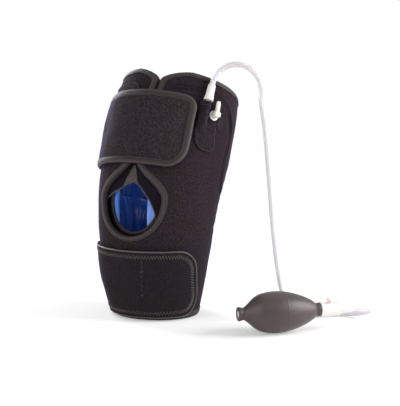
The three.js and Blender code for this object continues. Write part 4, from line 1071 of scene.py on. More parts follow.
def path_offset(path, inward, closed):
    """The edge moved inwards over the fabric: angle and height of its points. Fabric lies on its left."""
    angle = path[:, 0] / mean_radius(path[:, 1])
    along = path[:, 1]
    before, after = (np.roll(np.stack([angle, along], 1), shift, 0) for shift in (1, -1))
    if not closed:
        before[0] = angle[0], along[0]
        after[-1] = angle[-1], along[-1]
    _, _, _, round_scale, up_scale = form_frame(angle, along)
    turn = after[:, 0] - before[:, 0]
    turn = turn - 2 * np.pi * np.round(turn / (2 * np.pi))
    ahead = unit(np.stack([turn * round_scale, (after[:, 1] - before[:, 1]) * up_scale], 1))
    inward = np.asarray(inward)
    return (angle[:, None] - ahead[:, 1:] * inward / round_scale[:, None],
            along[:, None] + ahead[:, :1] * inward / up_scale[:, None])


def line_offset(path, inward, closed=False):
    """The edge moved inwards by one distance, or by one for each point."""
    angle, along = path_offset(path, np.reshape(inward, (-1, 1)), closed)
    return angle[:, 0], along[:, 0]


def bound_edge(name, path, closed, top, under, crown, width, pucker=0.12 * MM, sink=0.0):
    """Padded binding: a rounded section folded over the edge, drawn in a little at every stitch.
    crown, width and sink may change along the edge. Towards the ends of an open run the section flattens."""
    crown, width, sink = (np.broadcast_to(value, len(path))[:, None] for value in (crown, width, sink))
    arc = np.linspace(0, np.pi, 13)
    gap = 0.3 * MM
    nose = np.linspace(np.pi / 2, -np.pi / 2, 9)[1:-1]
    half = (top - under) / 2 + gap + 0.25 * MM
    flat_side = 0.5 + 0.5 * np.cos(arc)
    wide = np.concatenate([flat_side[:-1], np.zeros(7), flat_side[::-1][1:], [0.97, 0, 0, 0.97]])
    fixed = np.concatenate([np.zeros(12), -gap - 0.7 * MM * np.cos(nose), np.zeros(12),
                            [0, -gap * 0.5, -gap * 0.5, 0]])
    flat = np.concatenate([
        np.full(12, top + gap), (top + under) / 2 + half * np.sin(nose),
        (under - 0.4 * MM - 0.7 * MM * np.sin(arc) ** 0.6)[1:],
        [under - 0.3 * MM, under - 0.3 * MM, top + 0.2 * MM, top + 0.2 * MM]])
    rise = np.concatenate([np.sin(arc[:-1]) ** 0.7, np.zeros(len(flat) - 12)])
    walk = np.arange(len(path)) * np.linalg.norm(path[1] - path[0])
    full = np.ones((len(path), 1))
    if not closed:
        full = 0.3 + 0.7 * smoothstep(np.minimum(walk, walk[-1] - walk), -4 * MM, 28 * MM)[:, None]
    middle = (top + under) / 2
    lift = middle + (flat + crown * rise - middle) * full - sink
    angle, along = path_offset(path, (width * wide + fixed) * (0.5 + 0.5 * full), closed)
    drawn = 1 - 0.5 * (1 - np.cos(2 * np.pi * walk / sizes("wrap").stitch_pitch))
    seam = np.exp(-((wide - 0.78) / 0.16) ** 2)
    rings = form_point(angle, along, lift - pucker * drawn[:, None] * seam * (flat > top))
    if closed:
        rings = np.concatenate([rings, rings[:1]])
    return carried(name, rings, "tape", closed)


def edge_stitches(name, path, closed, inward, lift, pitch=None):
    """One row of running stitches that follows an edge at a set distance from it."""
    angle, along = line_offset(path, inward, closed)
    both = np.concatenate([form_point(angle, along, lift), form_frame(angle, along)[2]], 1)
    if closed:
        both = np.concatenate([both, both[:1]])
    line = even_line(both[:, :3], pitch or sizes("wrap").stitch_pitch)
    walk = walked(both[:, :3])
    at = np.linspace(0, walk[-1], len(line))
    off = unit(np.stack([np.interp(at, walk, both[:, 3 + k]) for k in range(3)], 1))
    return run_stitches(name, line, off)


class KNEEWRAP_OT_bindings(bpy.types.Operator):
    """Padded binding over the rim, the notch, the slit and the opening in one run, and over the lower rim."""

    bl_idname = "kneewrap.bindings"
    bl_label = "Edge bindings"

    def execute(self, context):
        wrap = sizes("wrap")
        strap = sizes("strap")
        path = self.closed_run()
        high = path[:, 1]
        covered = smoothstep(high, strap.upper_bottom - 8 * MM, strap.upper_bottom + 2 * MM)
        covered = covered * (1 - smoothstep(high, strap.upper_top - 2 * MM, strap.upper_top + 8 * MM))
        crown = wrap.tape_crown - (wrap.tape_crown - wrap.covered_crown) * covered
        crown = crown - 0.4 * MM * smoothstep(high, 278 * MM, 292 * MM)
        low = 1 - smoothstep(high, OPENING_MIDDLE - OPENING_DROP, OPENING_MIDDLE + 20 * MM)
        outer_side = smoothstep(OPENING_CENTRE - path[:, 0], 0, 30 * MM) * (high < OPENING_MIDDLE + 47 * MM)
        at_rim = smoothstep(high, WRAP_LENGTH - 12 * MM, WRAP_LENGTH - 2 * MM)
        width = wrap.tape_width - 2.2 * MM * np.maximum(np.maximum(low, 0.7 * outer_side), at_rim)
        tape = bound_edge("rim_and_opening_tape", path, True, 0.0, -SHELL_THICKNESS, crown, width)
        dress(tape, "wrap", "binding_tape", "opening_binding")
        row = edge_stitches("rim_tape_stitches", path, True, wrap.tape_width * 0.66, 0.3 * MM + crown * 0.85)
        dress(row, "wrap", "binding_tape")
        turn = np.linspace(0, 2 * np.pi, 220, endpoint=False)
        foot = np.stack([turn * mean_radius(0.0), 0 * turn], 1)
        hem = bound_edge("lower_rim_tape", foot, True, 0.0, -SHELL_THICKNESS, 0.9 * MM, wrap.tape_width)
        dress(hem, "wrap", "binding_tape", "bottom_binding")
        return {"FINISHED"}

    def closed_run(self):
        """Even points along the whole run, softened; its end meets its start one turn further round."""
        edge = cut_path()
        turn = 2 * np.pi * mean_radius(WRAP_LENGTH)
        rim = np.linspace(edge[-1, 0], edge[0, 0] - turn, 150)[1:-1]
        path = np.concatenate([edge, np.stack([rim, np.full(148, WRAP_LENGTH)], 1)])
        angle = path[:, 0] / mean_radius(path[:, 1])
        both = np.concatenate([form_point(angle, path[:, 1], 0.0), angle[:, None], path[:, 1:]], 1)
        start = both[:1].copy()
        start[0, 3] = both[0, 3] - 2 * np.pi
        line = even_line(np.concatenate([both, start]), 1.6 * MM)[:-1, 3:]
        for _ in range(4):
            before = np.roll(line, 1, 0)
            after = np.roll(line, -1, 0)
            before[0, 0] += 2 * np.pi
            after[-1, 0] -= 2 * np.pi
            line = (before + 2 * line + after) / 4
        return around_of(*line.T)


def bladder_depth(along):
    """Thickness of the filled bladder at a height: the weld's, plus the root of half a sine wave."""
    high = (along - BLADDER_LOW) / (BLADDER_HIGH - BLADDER_LOW)
    return BLADDER_EDGE + (BLADDER_THICKNESS - BLADDER_EDGE) * hump(high, 0.5)


def lining_lift(along):
    """Height of the lining's outer face: under the shell and the bladder, with a gap to each."""
    high = (along - BLADDER_LOW) / (BLADDER_HIGH - BLADDER_LOW)
    filled = np.where((high > 0) & (high < 1), bladder_depth(along), BLADDER_EDGE)
    return -(SHELL_THICKNESS + LAYER_GAP + filled + LAYER_GAP)


class KNEEWRAP_OT_lining(bpy.types.Operator):
    """Inner lining with its own narrow binding at the opening, and the small gusset at the opening's top."""

    bl_idname = "kneewrap.lining"
    bl_label = "Lining and gusset"
    GUSSET_EDGE = MM * np.array([
        [-58, 136], [-48, 140.5], [-40, 143.5], [-34, 145.5], [-27, 148], [-14, 151.5], [-2, 156.5],
        [7, 158.5], [14, 156.5], [21, 150.5], [29, 143.5], [34, 137], [38, 128], [39.5, 120]])

    def execute(self, context):
        rows = cut_rows(10 * MM, WRAP_LENGTH - 10 * MM, LINING_INSET)
        lining = cut_skin("brushed_lining_tube", rows, 150, LINING_INSET, self.lifts, "lining")
        dress(lining, "wrap", "lining_fabric", "inner_lining")
        self.add_narrow_binding()
        lower = flat_curve(self.GUSSET_EDGE, 8, 1.5 * MM)
        self.add_gusset(lower)
        self.add_triangle(lower)
        return {"FINISHED"}

    def lifts(self, angle, along):
        """Heights of the lining's outer and inner face."""
        return lining_lift(along), lining_lift(along) - LINING_THICKNESS

    def add_narrow_binding(self):
        """Narrow tape over the lining's edge, round the opening from one side of the slit to the other."""
        path = cut_path(LINING_INSET)
        line = even_line(path[path[:, 1] < OPENING_MIDDLE + OPENING_RISE - 4 * MM], 1.5 * MM)
        depth = float(lining_lift(np.array(OPENING_MIDDLE)))
        tape = bound_edge("lining_tape", line, False, depth, depth - LINING_THICKNESS, 0.5 * MM, 3.2 * MM,
                          pucker=0.0)
        dress(tape, "wrap", "binding_tape")

    def add_gusset(self, lower):
        """Stretch web: straight lines from its free lower edge, which has a round hem, to the cut's edge,
        which it is sewn under."""
        count = len(lower)
        peak = OPENING_MIDDLE + 47 * MM
        left = np.linspace(OPENING_MIDDLE, peak, count // 2)
        right = np.linspace(peak, OPENING_MIDDLE - 23 * MM, count - count // 2)
        upper = np.concatenate([
            np.stack([slit_centre(left) - cut_half(left) - 3 * MM, left], 1),
            np.stack([slit_centre(right) + cut_half(right) + 3 * MM, right], 1)])
        high = np.linspace(0, 1, 18)[:, None, None]
        flat = lower + (upper - lower) * high
        lift = -SHELL_THICKNESS - 1.4 * MM - 1.8 * MM * (1 - high[..., 0])
        # The web, in the near-black lining colour, reaches down the right side over the gel: a real gusset
        # that also stands in as painted shade where the opening is in shadow
        web = layer("slit_gusset", flat[..., 0], flat[..., 1], lift, lift - 0.8 * MM, "lining")
        dress(web, "wrap", "lining_fabric")
        ends = smoothstep(np.minimum(np.arange(count), np.arange(count)[::-1]), 0, 9)
        points = wrap_point(*lower.T, -SHELL_THICKNESS - 3.2 * MM)
        hem = carried("gusset_hem", tube_rings(points, 0.9 * MM * (0.2 + 0.8 * ends), 10), "gusset")
        dress(hem, "wrap", "lining_fabric")

    def add_triangle(self, lower):
        """Puffed patch that narrows from the web's edge up to the slit."""
        side = np.linspace(-1, 1, 21)[None, :]
        tall = np.linspace(0, 1, 22)[:, None]
        foot = 1.5 * MM + 11 * MM * side
        base = np.interp(foot, *lower.T) + 0.6 * MM
        around = foot + (5.5 * MM + 0.9 * MM * side - foot) * tall
        along = base + (176 * MM - base) * tall
        under = -SHELL_THICKNESS - 3.1 * MM
        puff = 0.6 * MM * (1 - side**2) * hump(tall, 0.5)
        patch = layer("gusset_triangle", around, along, under + 0.7 * MM + puff, under, "gusset")
        dress(patch, "wrap", "lining_fabric")


class KNEEWRAP_OT_gel_packs(bpy.types.Operator):
    """Two gel packs of welded cells that swell between their welds, and the air bladder behind the lining."""

    bl_idname = "kneewrap.gel_packs"
    bl_label = "Gel packs and bladder"

    def execute(self, context):
        for node, side in (("gel_pack_outer_side", -1), ("gel_pack_inner_side", 1)):
            self.add_pack(node, side)
        self.add_bladder()
        return {"FINISHED"}

    def add_pack(self, node, side):
        """Thickness is the weld's, plus a rounded hump over each cell, wrinkled where the film is drawn."""
        tall, wide = shares(121, 121)
        along = GEL_END_INSET + (WRAP_LENGTH - 2 * GEL_END_INSET) * tall + 0 * wide
        angle = np.radians(GEL_FRONT_DEGREES + GEL_SPAN_DEGREES * wide) * side + 0 * tall
        across = (wide * GEL_CELLS_ROUND) % 1
        weld = hump((tall * GEL_CELLS_UP) % 1, 0.6) * hump(across, 0.6)
        crease = 0.35 * MM * np.sin(wide * 190 + 3 * np.sin(tall * 23)) * weld * (1 - hump(across, 3))
        thick = GEL_EDGE + (GEL_THICKNESS - GEL_EDGE) * weld + crease
        lift = lining_lift(along) - LINING_THICKNESS - LAYER_GAP
        pack = self.add_cushion(node + "_film", angle, along, lift, thick, "gel")
        dress(pack, "wrap", "gel_film", node)

    def add_bladder(self):
        """Thickness is the weld's at all four edges and full in the middle."""
        tall, wide = shares(80, 160)
        along = BLADDER_LOW + (BLADDER_HIGH - BLADDER_LOW) * tall + 0 * wide
        angle = BLADDER_FRONT + (2 * np.pi - 2 * BLADDER_FRONT) * wide + 0 * tall
        thick = BLADDER_EDGE + (bladder_depth(along) - BLADDER_EDGE) * hump(wide, 0.3)
        lift = -(SHELL_THICKNESS + LAYER_GAP)
        bladder = self.add_cushion("air_bladder_film", angle, along, lift, thick, "film")
        dress(bladder, "wrap", "bladder_film", "air_bladder")

    def add_cushion(self, name, angle, along, lift, thick, key):
        """Closed cushion whose outer face is even and whose inner face swells."""
        outer = form_point(angle, along, lift)
        inner = form_point(angle, along, lift - thick)
        return two_skins(name, outer, inner, around_of(angle, along), key, sharp=60)


def strap_outline(name):
    """Lower and upper edge of a strap, its reach, and the radii of its lower and upper free corner."""
    parts = ("bottom", "top", "reach", "low_corner", "high_corner")
    return [getattr(sizes("strap"), f"{name}_{part}") for part in parts]


def strap_rows(bottom, top, low_corner, high_corner):
    """Heights of the rows, closer together at the level ends of the two corners."""
    low = bottom + low_corner * (1 - np.cos(np.linspace(0, np.pi / 2, 18)))
    high = top - high_corner * (1 - np.sin(np.linspace(0, np.pi / 2, 14)))
    return np.concatenate([low, np.linspace(low[-1], high[0], 28)[1:-1], high])


def strap_end(along, bottom, top, reach, low_corner, high_corner):
    """Free end at a height: the reach, less a quarter circle at each corner."""
    low = np.clip(1 - (along - bottom) / low_corner, 0, 1)
    high = np.clip(1 - (top - along) / high_corner, 0, 1)
    return reach - low_corner * (1 - np.sqrt(1 - low**2)) - high_corner * (1 - np.sqrt(1 - high**2))


def strap_grid(outline, columns):
    """Distances round and along over a strap, from its fold to its free end."""
    bottom, top, reach, low_corner, high_corner = outline
    rows = strap_rows(bottom, top, low_corner, high_corner)[:, None]
    start = STRAP_HINGE_ANGLE * mean_radius(rows)
    knee = reach - low_corner
    body = np.linspace(0, 1, columns)[None, :]
    tip = np.sin(np.linspace(0, np.pi / 2, 26))[None, 1:]
    end = strap_end(rows, *outline)
    around = np.concatenate([start + (knee - start) * body, knee + (end - knee) * tip], 1)
    return around, rows + 0 * around


def strap_sink(around, depth):
    """How much closer to the fabric a strap lies towards its fold."""
    return depth * smoothstep(-around, 32 * MM, 66 * MM)


def strap_edge(outline, setback):
    """Edge from the fold along the lower side, round the free end and back along the upper side."""
    bottom, top, reach, low_corner, high_corner = outline
    rows = strap_rows(bottom, top, low_corner, high_corner)
    ends = strap_end(rows, *outline)
    low_start, high_start = (STRAP_HINGE_ANGLE * mean_radius(level) + setback for level in (bottom, top))
    lower = np.stack([np.linspace(low_start, ends[0], 90), np.full(90, bottom)], 1)
    upper = np.stack([np.linspace(ends[-1], high_start, 90), np.full(90, top)], 1)
    return even_line(np.concatenate([lower[:-1], np.stack([ends, rows], 1), upper[1:]]), 1.6 * MM)


def hook_patch(name, end, low, high, under, over):
    """Patch of hook tape sewn under a strap's free end."""
    around, along = np.meshgrid(np.linspace(end - HOOK_WIDTH, end, 30), np.linspace(low, high, 40))
    patch = layer(name + "_hook_tape", around, along, over, under, "hook")
    dress(patch, name + "_strap", "hook_tape", name + "_strap_hook")


class KNEEWRAP_OT_upper_strap(bpy.types.Operator):
    """Upper strap: brushed foam panel with a padded binding round it and hook tape under its end."""

    bl_idname = "kneewrap.upper_strap"
    bl_label = "Upper strap"
    SINK = 1.8 * MM

    def execute(self, context):
        outline = strap_outline("upper")
        bottom, top, reach = outline[:3]
        around, along = strap_grid(outline, 90)
        face = UPPER_STRAP_LIFT + sizes("strap").upper_thickness
        sink = strap_sink(around, self.SINK)
        over = face - sink + self.relief(around, along, outline)
        panel = layer("upper_strap_foam", around, along, over, UPPER_STRAP_LIFT - sink, "strap")
        dress(panel, "upper_strap", "foam_fabric", "upper_strap_panel")
        edge = strap_edge(outline, 7 * MM)
        level = 1 - smoothstep(edge[:, 1], bottom, bottom + 20 * MM)
        width = sizes("wrap").tape_width + 0.8 * MM - 2.4 * MM * level
        sink = strap_sink(edge[:, 0], self.SINK)
        crown = 1.3 * MM - 0.6 * MM * smoothstep(edge[:, 1], top - 16 * MM, top)
        tape = bound_edge("upper_strap_tape", edge, False, face, UPPER_STRAP_LIFT, crown, width, sink=sink)
        dress(tape, "upper_strap", "binding_tape", "upper_strap_binding")
        row = edge_stitches("upper_strap_stitches", edge, False, sizes("wrap").tape_width * 0.8,
                            face + 1.1 * MM - sink)
        dress(row, "upper_strap", "binding_tape")
        hook_patch("upper", reach - 11 * MM, bottom + 17 * MM, top - 13 * MM,
                   UPPER_STRAP_LIFT - 1.4 * MM, UPPER_STRAP_LIFT - TAPE_GAP)
        return {"FINISHED"}

    def relief(self, around, along, outline):
        """Height over the flat panel: waves, a low ridge over the slit and a slight swell inside the tape."""
        bottom, top = outline[:2]
        points = wrap_point(around, along, 0)
        high = (along - bottom) / (top - bottom)
        wide = np.clip((strap_end(along, *outline) - around) / (16 * MM), 0, 1)
        inside = smoothstep(hump(high, 0.8), 0.1, 0.6) * smoothstep(wide, 0.2, 1)
        ridge = 1.3 * MM * np.exp(-np.abs(around - slit_centre(along)) / (1.8 * MM))
        pull = 0.28 * MM * np.sin(around / (6.5 * MM) + 2 * high) * smoothstep(-around, -10 * MM, 60 * MM)
        waves = 0.5 * MM * ripple(points, 38 * MM, 21) + 0.22 * MM * ripple(points, 15 * MM, 22)
        return inside * (0.5 * MM + ridge + pull + waves)


class KNEEWRAP_OT_lower_strap(bpy.types.Operator):
    """Lower strap: foam panel with a thin rolled edge, a band of zigzag stitches and a gathered seam."""

    bl_idname = "kneewrap.lower_strap"
    bl_label = "Lower strap"
    SINK = 1.2 * MM

    def execute(self, context):
        outline = strap_outline("lower")
        bottom, top, reach = outline[:3]
        around, along = strap_grid(outline, 110)
        face = LOWER_STRAP_LIFT + sizes("strap").lower_thickness
        sink = self.sink(around, along)
        over = face - sink + self.relief(around, along, outline)
        panel = layer("lower_strap_foam", around, along, over, LOWER_STRAP_LIFT - sink, "lower")
        dress(panel, "lower_strap", "foam_fabric", "lower_strap_panel")
        edge = strap_edge(outline, 4 * MM)
        self.add_rolled_edge(edge, face)
        self.add_zigzag(edge, face)
        self.add_middle_seam(face)
        hook_patch("lower", reach - 15 * MM, bottom + 23 * MM, top - 23 * MM,
                   TAPE_GAP, LOWER_STRAP_LIFT - TAPE_GAP)
        return {"FINISHED"}

    def relief(self, around, along, outline):
        """Height over the flat panel: its edge is drawn down, the zigzag band and the middle seam are dents,
        and ripples run across the seam."""
        bottom, top = outline[:2]
        to_end = strap_end(along, *outline) - around
        inside = np.minimum(np.minimum(top - along, to_end), along - bottom + 2 * MM)
        swell = 0.7 * MM * smoothstep(inside, 0, 3 * MM) + 0.5 * MM * smoothstep(inside, 10 * MM, 24 * MM)
        band = -0.45 * MM * np.exp(-((inside - 8 * MM) / (3.2 * MM)) ** 2)
        off_seam = around - self.seam_around(along)
        held = smoothstep(along, 22 * MM, 34 * MM)
        dent = -0.6 * MM * np.exp(-(off_seam / (2.4 * MM)) ** 2) * held
        lean = along + 0.5 * np.abs(off_seam)
        gather = 0.6 * MM * np.sin(lean / (0.95 * MM)) * np.exp(-(off_seam / (6 * MM)) ** 2) * held
        gather = gather * smoothstep(-along, -84 * MM, -60 * MM)
        points = wrap_point(around, along, 0)
        waves = 0.45 * MM * ripple(points, 34 * MM, 31) + 0.2 * MM * ripple(points, 14 * MM, 32)
        return swell + band + dent + gather + waves * smoothstep(inside, 2 * MM, 14 * MM)

    def sink(self, around, along):
        """Sink towards the fold, except over the binding of the lower rim."""
        return strap_sink(around, self.SINK) * smoothstep(along, 4 * MM, 16 * MM)

    def seam_around(self, along):
        """Straight seam that leans a little."""
        return 15.5 * MM + 4.5 * MM * (along / (80 * MM))

    def add_rolled_edge(self, edge, lift):
        """Thin cord along the edge."""
        lift = lift + 0.1 * MM - self.sink(*edge.T)
        line = form_point(*line_offset(edge, 0.6 * MM), lift)
        cord = carried("lower_strap_rolled_edge", tube_rings(line, 0.85 * MM, 10), "zigzag")
        dress(cord, "lower_strap", "binding_tape")

    def add_zigzag(self, edge, lift):
        """Zigzag of stitches between two distances from the edge."""
        strap = sizes("strap")
        start = 4.6 * MM
        line = even_line(edge, strap.zigzag_pitch / 2)
        inward = np.where(np.arange(len(line)) % 2, start, start + strap.zigzag_width)
        places = form_point(*line_offset(line, inward), lift + 0.45 * MM - self.sink(*line.T))
        off = wrap_frame(*line.T)[2]
        row = stitches("lower_strap_zigzag", places[:-1], places[1:], off[:-1], "zigzag", 1.3)
        dress(row, "lower_strap", "binding_tape")

    def add_middle_seam(self, lift):
        """Short cross stitches down the gathered seam."""
        along = np.linspace(78 * MM, 30 * MM, 30)
        seam = self.seam_around(along)
        way = np.where(np.arange(30) % 2, 1, -1) * 1.5 * MM
        starts = wrap_point(seam - way, along, lift + 0.35 * MM)
        ends = wrap_point(seam + way, along - 1.2 * MM, lift + 0.35 * MM)
        off = wrap_frame(seam, along)[2]
        row = stitches("lower_strap_seam_stitches", starts, ends, off, "thread", 0.7)
        dress(row, "lower_strap", "binding_tape")


class KNEEWRAP_OT_anchors(bpy.types.Operator):
    """Sewn ends that the straps fold from, the folds, and the loop panel under the upper strap."""

    bl_idname = "kneewrap.anchors"
    bl_label = "Strap anchors and loop panel"

    def execute(self, context):
        strap = sizes("strap")
        ends = (("upper", strap.upper_bottom + 2 * MM, strap.upper_top - 2 * MM,
                 UPPER_STRAP_LIFT - KNEEWRAP_OT_upper_strap.SINK, strap.upper_thickness),
                ("lower", strap.lower_bottom + 11 * MM, strap.lower_top - 2 * MM,
                 LOWER_STRAP_LIFT - KNEEWRAP_OT_lower_strap.SINK, strap.lower_thickness))
        for name, low, high, strap_lift, thickness in ends:
            self.add_anchor(name, low, high)
            self.add_fold(name, low, high, strap_lift, thickness)
        self.add_loop_panel()
        return {"FINISHED"}

    def add_anchor(self, name, low, high):
        """Pad of double fabric with softened borders and two rows of stitches."""
        tall, wide = shares(60, 24)
        along = low + (high - low) * tall
        front = STRAP_HINGE_ANGLE * mean_radius(along) - ANCHOR_SETBACK
        border = np.minimum(smoothstep(hump(tall, 1), 0, 0.12), smoothstep(wide, 0, 0.25))
        top = TAPE_GAP + ANCHOR_HEIGHT
        pad = layer(name + "_anchor_pad", front - ANCHOR_WIDTH * (1 - wide), along,
                    top - 1.6 * MM * (1 - border), TAPE_GAP, "strap")
        dress(pad, "wrap", "foam_fabric", name + "_strap_anchor")
        line = np.linspace(low + 4 * MM, high - 4 * MM, 60)
        radius = mean_radius(line)
        for row, share in enumerate((0.35, 0.6)):
            around = STRAP_HINGE_ANGLE * radius - ANCHOR_SETBACK - ANCHOR_WIDTH * (1 - share)
            run = form_line_stitches(f"{name}_anchor_stitches_{row}", around / radius, line, top)
            dress(run, "wrap", "foam_fabric")

    def add_fold(self, name, low, high, strap_lift, thickness):
        """Strip of fabric from the anchor to the strap."""
        tall, wide = shares(50, 22)
        along = low + 1 * MM + (high - low - 2 * MM) * tall
        hinge = STRAP_HINGE_ANGLE * mean_radius(along)
        start = hinge - ANCHOR_SETBACK - 2 * MM
        around = start + (hinge + 1.5 * MM - start) * wide
        rise = smoothstep(wide, 0.1, 0.95)
        under = 1.6 * MM + (strap_lift - 1.1 * MM) * rise
        over = 3.3 * MM + (strap_lift + thickness - 4.2 * MM) * rise
        strip = layer(name + "_strap_fold", around, along, over, under, "strap")
        middle = (low + high) / 2
        radius = mean_radius(middle)
        start_point, end_point = (form_point(STRAP_HINGE_ANGLE + away / radius, middle, strap_lift)
                                  for away in (-5 * MM, 2.5 * MM))
        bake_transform(strip)

    def add_loop_panel(self):
        """Thin loop fabric whose upper front corner is a quarter circle."""
        top, corner, reach = WRAP_LENGTH - 19 * MM, 16 * MM, -11 * MM
        straight = np.linspace(sizes("strap").upper_bottom + 12 * MM, top - corner, 50)[:-1]
        round_part = top - corner * (1 - np.sin(np.linspace(0, np.pi / 2, 16)))
        rows = np.concatenate([straight, round_part])[:, None]
        end = reach - corner * (1 - np.sqrt(1 - np.clip(1 - (top - rows) / corner, 0, 1) ** 2))
        start = STRAP_HINGE_ANGLE * mean_radius(rows) - ANCHOR_SETBACK + 1 * MM
        around = start + (end - start) * np.linspace(0, 1, 60)[None, :]
        under = TAPE_GAP + 0.1 * MM
        over = under + 0.7 * MM
        panel = layer("loop_fabric_panel", around, rows, over, under, "strap")
        dress(panel, "wrap", "foam_fabric", "loop_panel")
        upper = np.linspace(end[-1, 0], start[-1, 0] + 4 * MM, 40)[1:]
        path = np.concatenate([np.stack([end[:, 0], rows[:, 0]], 1), np.stack([upper, np.full(39, top)], 1)])
        run = edge_stitches("loop_panel_stitches", even_line(path, 2 * MM), False, 1.8 * MM, over,
                            pitch=FINE_PITCH)
        dress(run, "wrap", "foam_fabric")


class KNEEWRAP_OT_pocket(bpy.types.Operator):
    """Pocket over the ports, which bulges over the inlet tube, with a folded mouth and a sewn edge."""

    bl_idname = "kneewrap.pocket"
    bl_label = "Port pocket"
    TOP = WRAP_LENGTH - 34.5 * MM
    HEIGHT = 62 * MM
    LEFT = 69.5 * MM
    WIDTH = 28 * MM
    CORNER = 13 * MM
    THICKNESS = 1.2 * MM
    TAB_EDGE = MM * np.array([[236, 105.5], [241, 110.5], [246, 112], [252, 110.5], [257, 107.5]])

    def execute(self, context):
        low = self.TOP - self.HEIGHT + self.CORNER * (1 - np.cos(np.linspace(0, np.pi / 2, 14)))
        along = np.concatenate([low, np.linspace(low[-1], self.TOP, 60)[1:]])[:, None]
        wide = np.linspace(0, 1, 60)[None, :]
        left, right = self.sides(along)
        around = left + (right - left) * wide
        along = along + 0 * wide
        under = TAPE_GAP + self.bulge(around, along)
        hem = 0.5 * MM * smoothstep(along, self.TOP - 6.5 * MM, self.TOP - 5.5 * MM)
        border = smoothstep(np.minimum(wide, 1 - wide), 0, 0.08)
        crumple = 0.65 * MM * ripple(wrap_point(around, along, 0), 9 * MM, 41) * border
        over = under + self.THICKNESS + hem + crumple
        pocket = layer("port_pocket", around, along, over, under, "fabric")
        dress(pocket, "wrap", "foam_fabric", "valve_pocket")
        self.add_edge_stitches()
        self.add_mouth_stitches()
        self.add_tab()
        return {"FINISHED"}

    def sides(self, rows):
        """Left and right edge at each height: they lean, and the two lower corners are quarter circles."""
        skew = 8 * MM * (self.TOP - rows) / self.HEIGHT
        t = np.clip(1 - (rows - (self.TOP - self.HEIGHT)) / self.CORNER, 0, 1)
        inset = self.CORNER * (1 - np.sqrt(1 - t**2))
        return self.LEFT + 0.4 * skew + inset, self.LEFT + self.WIDTH + skew - inset

    def bulge(self, around, along):
        """Rise over the inlet tube: a cosine across it that grows over 22 mm from its foot."""
        foot = INLET_ALONG - 16 * MM
        off = np.minimum(np.abs(around - INLET_ARC) / (8 * MM), 1)
        full = INLET_LIFT + TUBE_RADIUS + 0.6 * MM - TAPE_GAP
        return full * smoothstep(along, foot, foot + 22 * MM) * np.cos(np.pi / 2 * off) ** 1.3

    def add_edge_stitches(self):
        """Row of stitches inside the left, lower and right edges."""
        round_part = self.CORNER * (1 - np.sin(np.linspace(0, np.pi / 2, 14)[1:]))
        rows = np.concatenate([self.TOP - np.linspace(0, self.HEIGHT - self.CORNER, 40),
                               self.TOP - self.HEIGHT + round_part])
        left, right = self.sides(rows)
        path = np.concatenate([np.stack([left, rows], 1), np.stack([right, rows], 1)[::-1]])
        run = edge_stitches("pocket_stitches", even_line(path, 1.5 * MM), False, 1.8 * MM,
                            TAPE_GAP + self.THICKNESS, pitch=FINE_PITCH)
        dress(run, "wrap", "foam_fabric")

    def add_mouth_stitches(self):
        """Row of stitches under the folded mouth."""
        height = np.full(60, self.TOP - 5.8 * MM)
        left, right = self.sides(height)
        around = left + (right - left) * np.linspace(0.04, 0.96, 60)
        flat = wrap_point(around, height, TAPE_GAP + self.bulge(around, height) + 1.6 * MM)
        off = wrap_frame(around, height)[2]
        line = even_line(np.concatenate([flat, off], 1), FINE_PITCH)
        dress(run_stitches("pocket_mouth_stitches", line[:, :3], line[:, 3:]), "wrap", "foam_fabric")

    def add_tab(self):
        """Small fabric tab behind the elbow."""
        heights, reaches = self.TAB_EDGE.T
        rows = np.linspace(heights[0], heights[-1], 24)[:, None]
        end = np.interp(rows, heights, reaches)
        start = self.sides(rows)[1] + 0.8 * MM
        around = start + (end - start) * np.linspace(0, 1, 16)[None, :]
        tab = layer("port_tab", around, rows, TAPE_GAP + 1.3 * MM, TAPE_GAP - 0.2 * MM, "strap")
        dress(tab, "wrap", "foam_fabric")


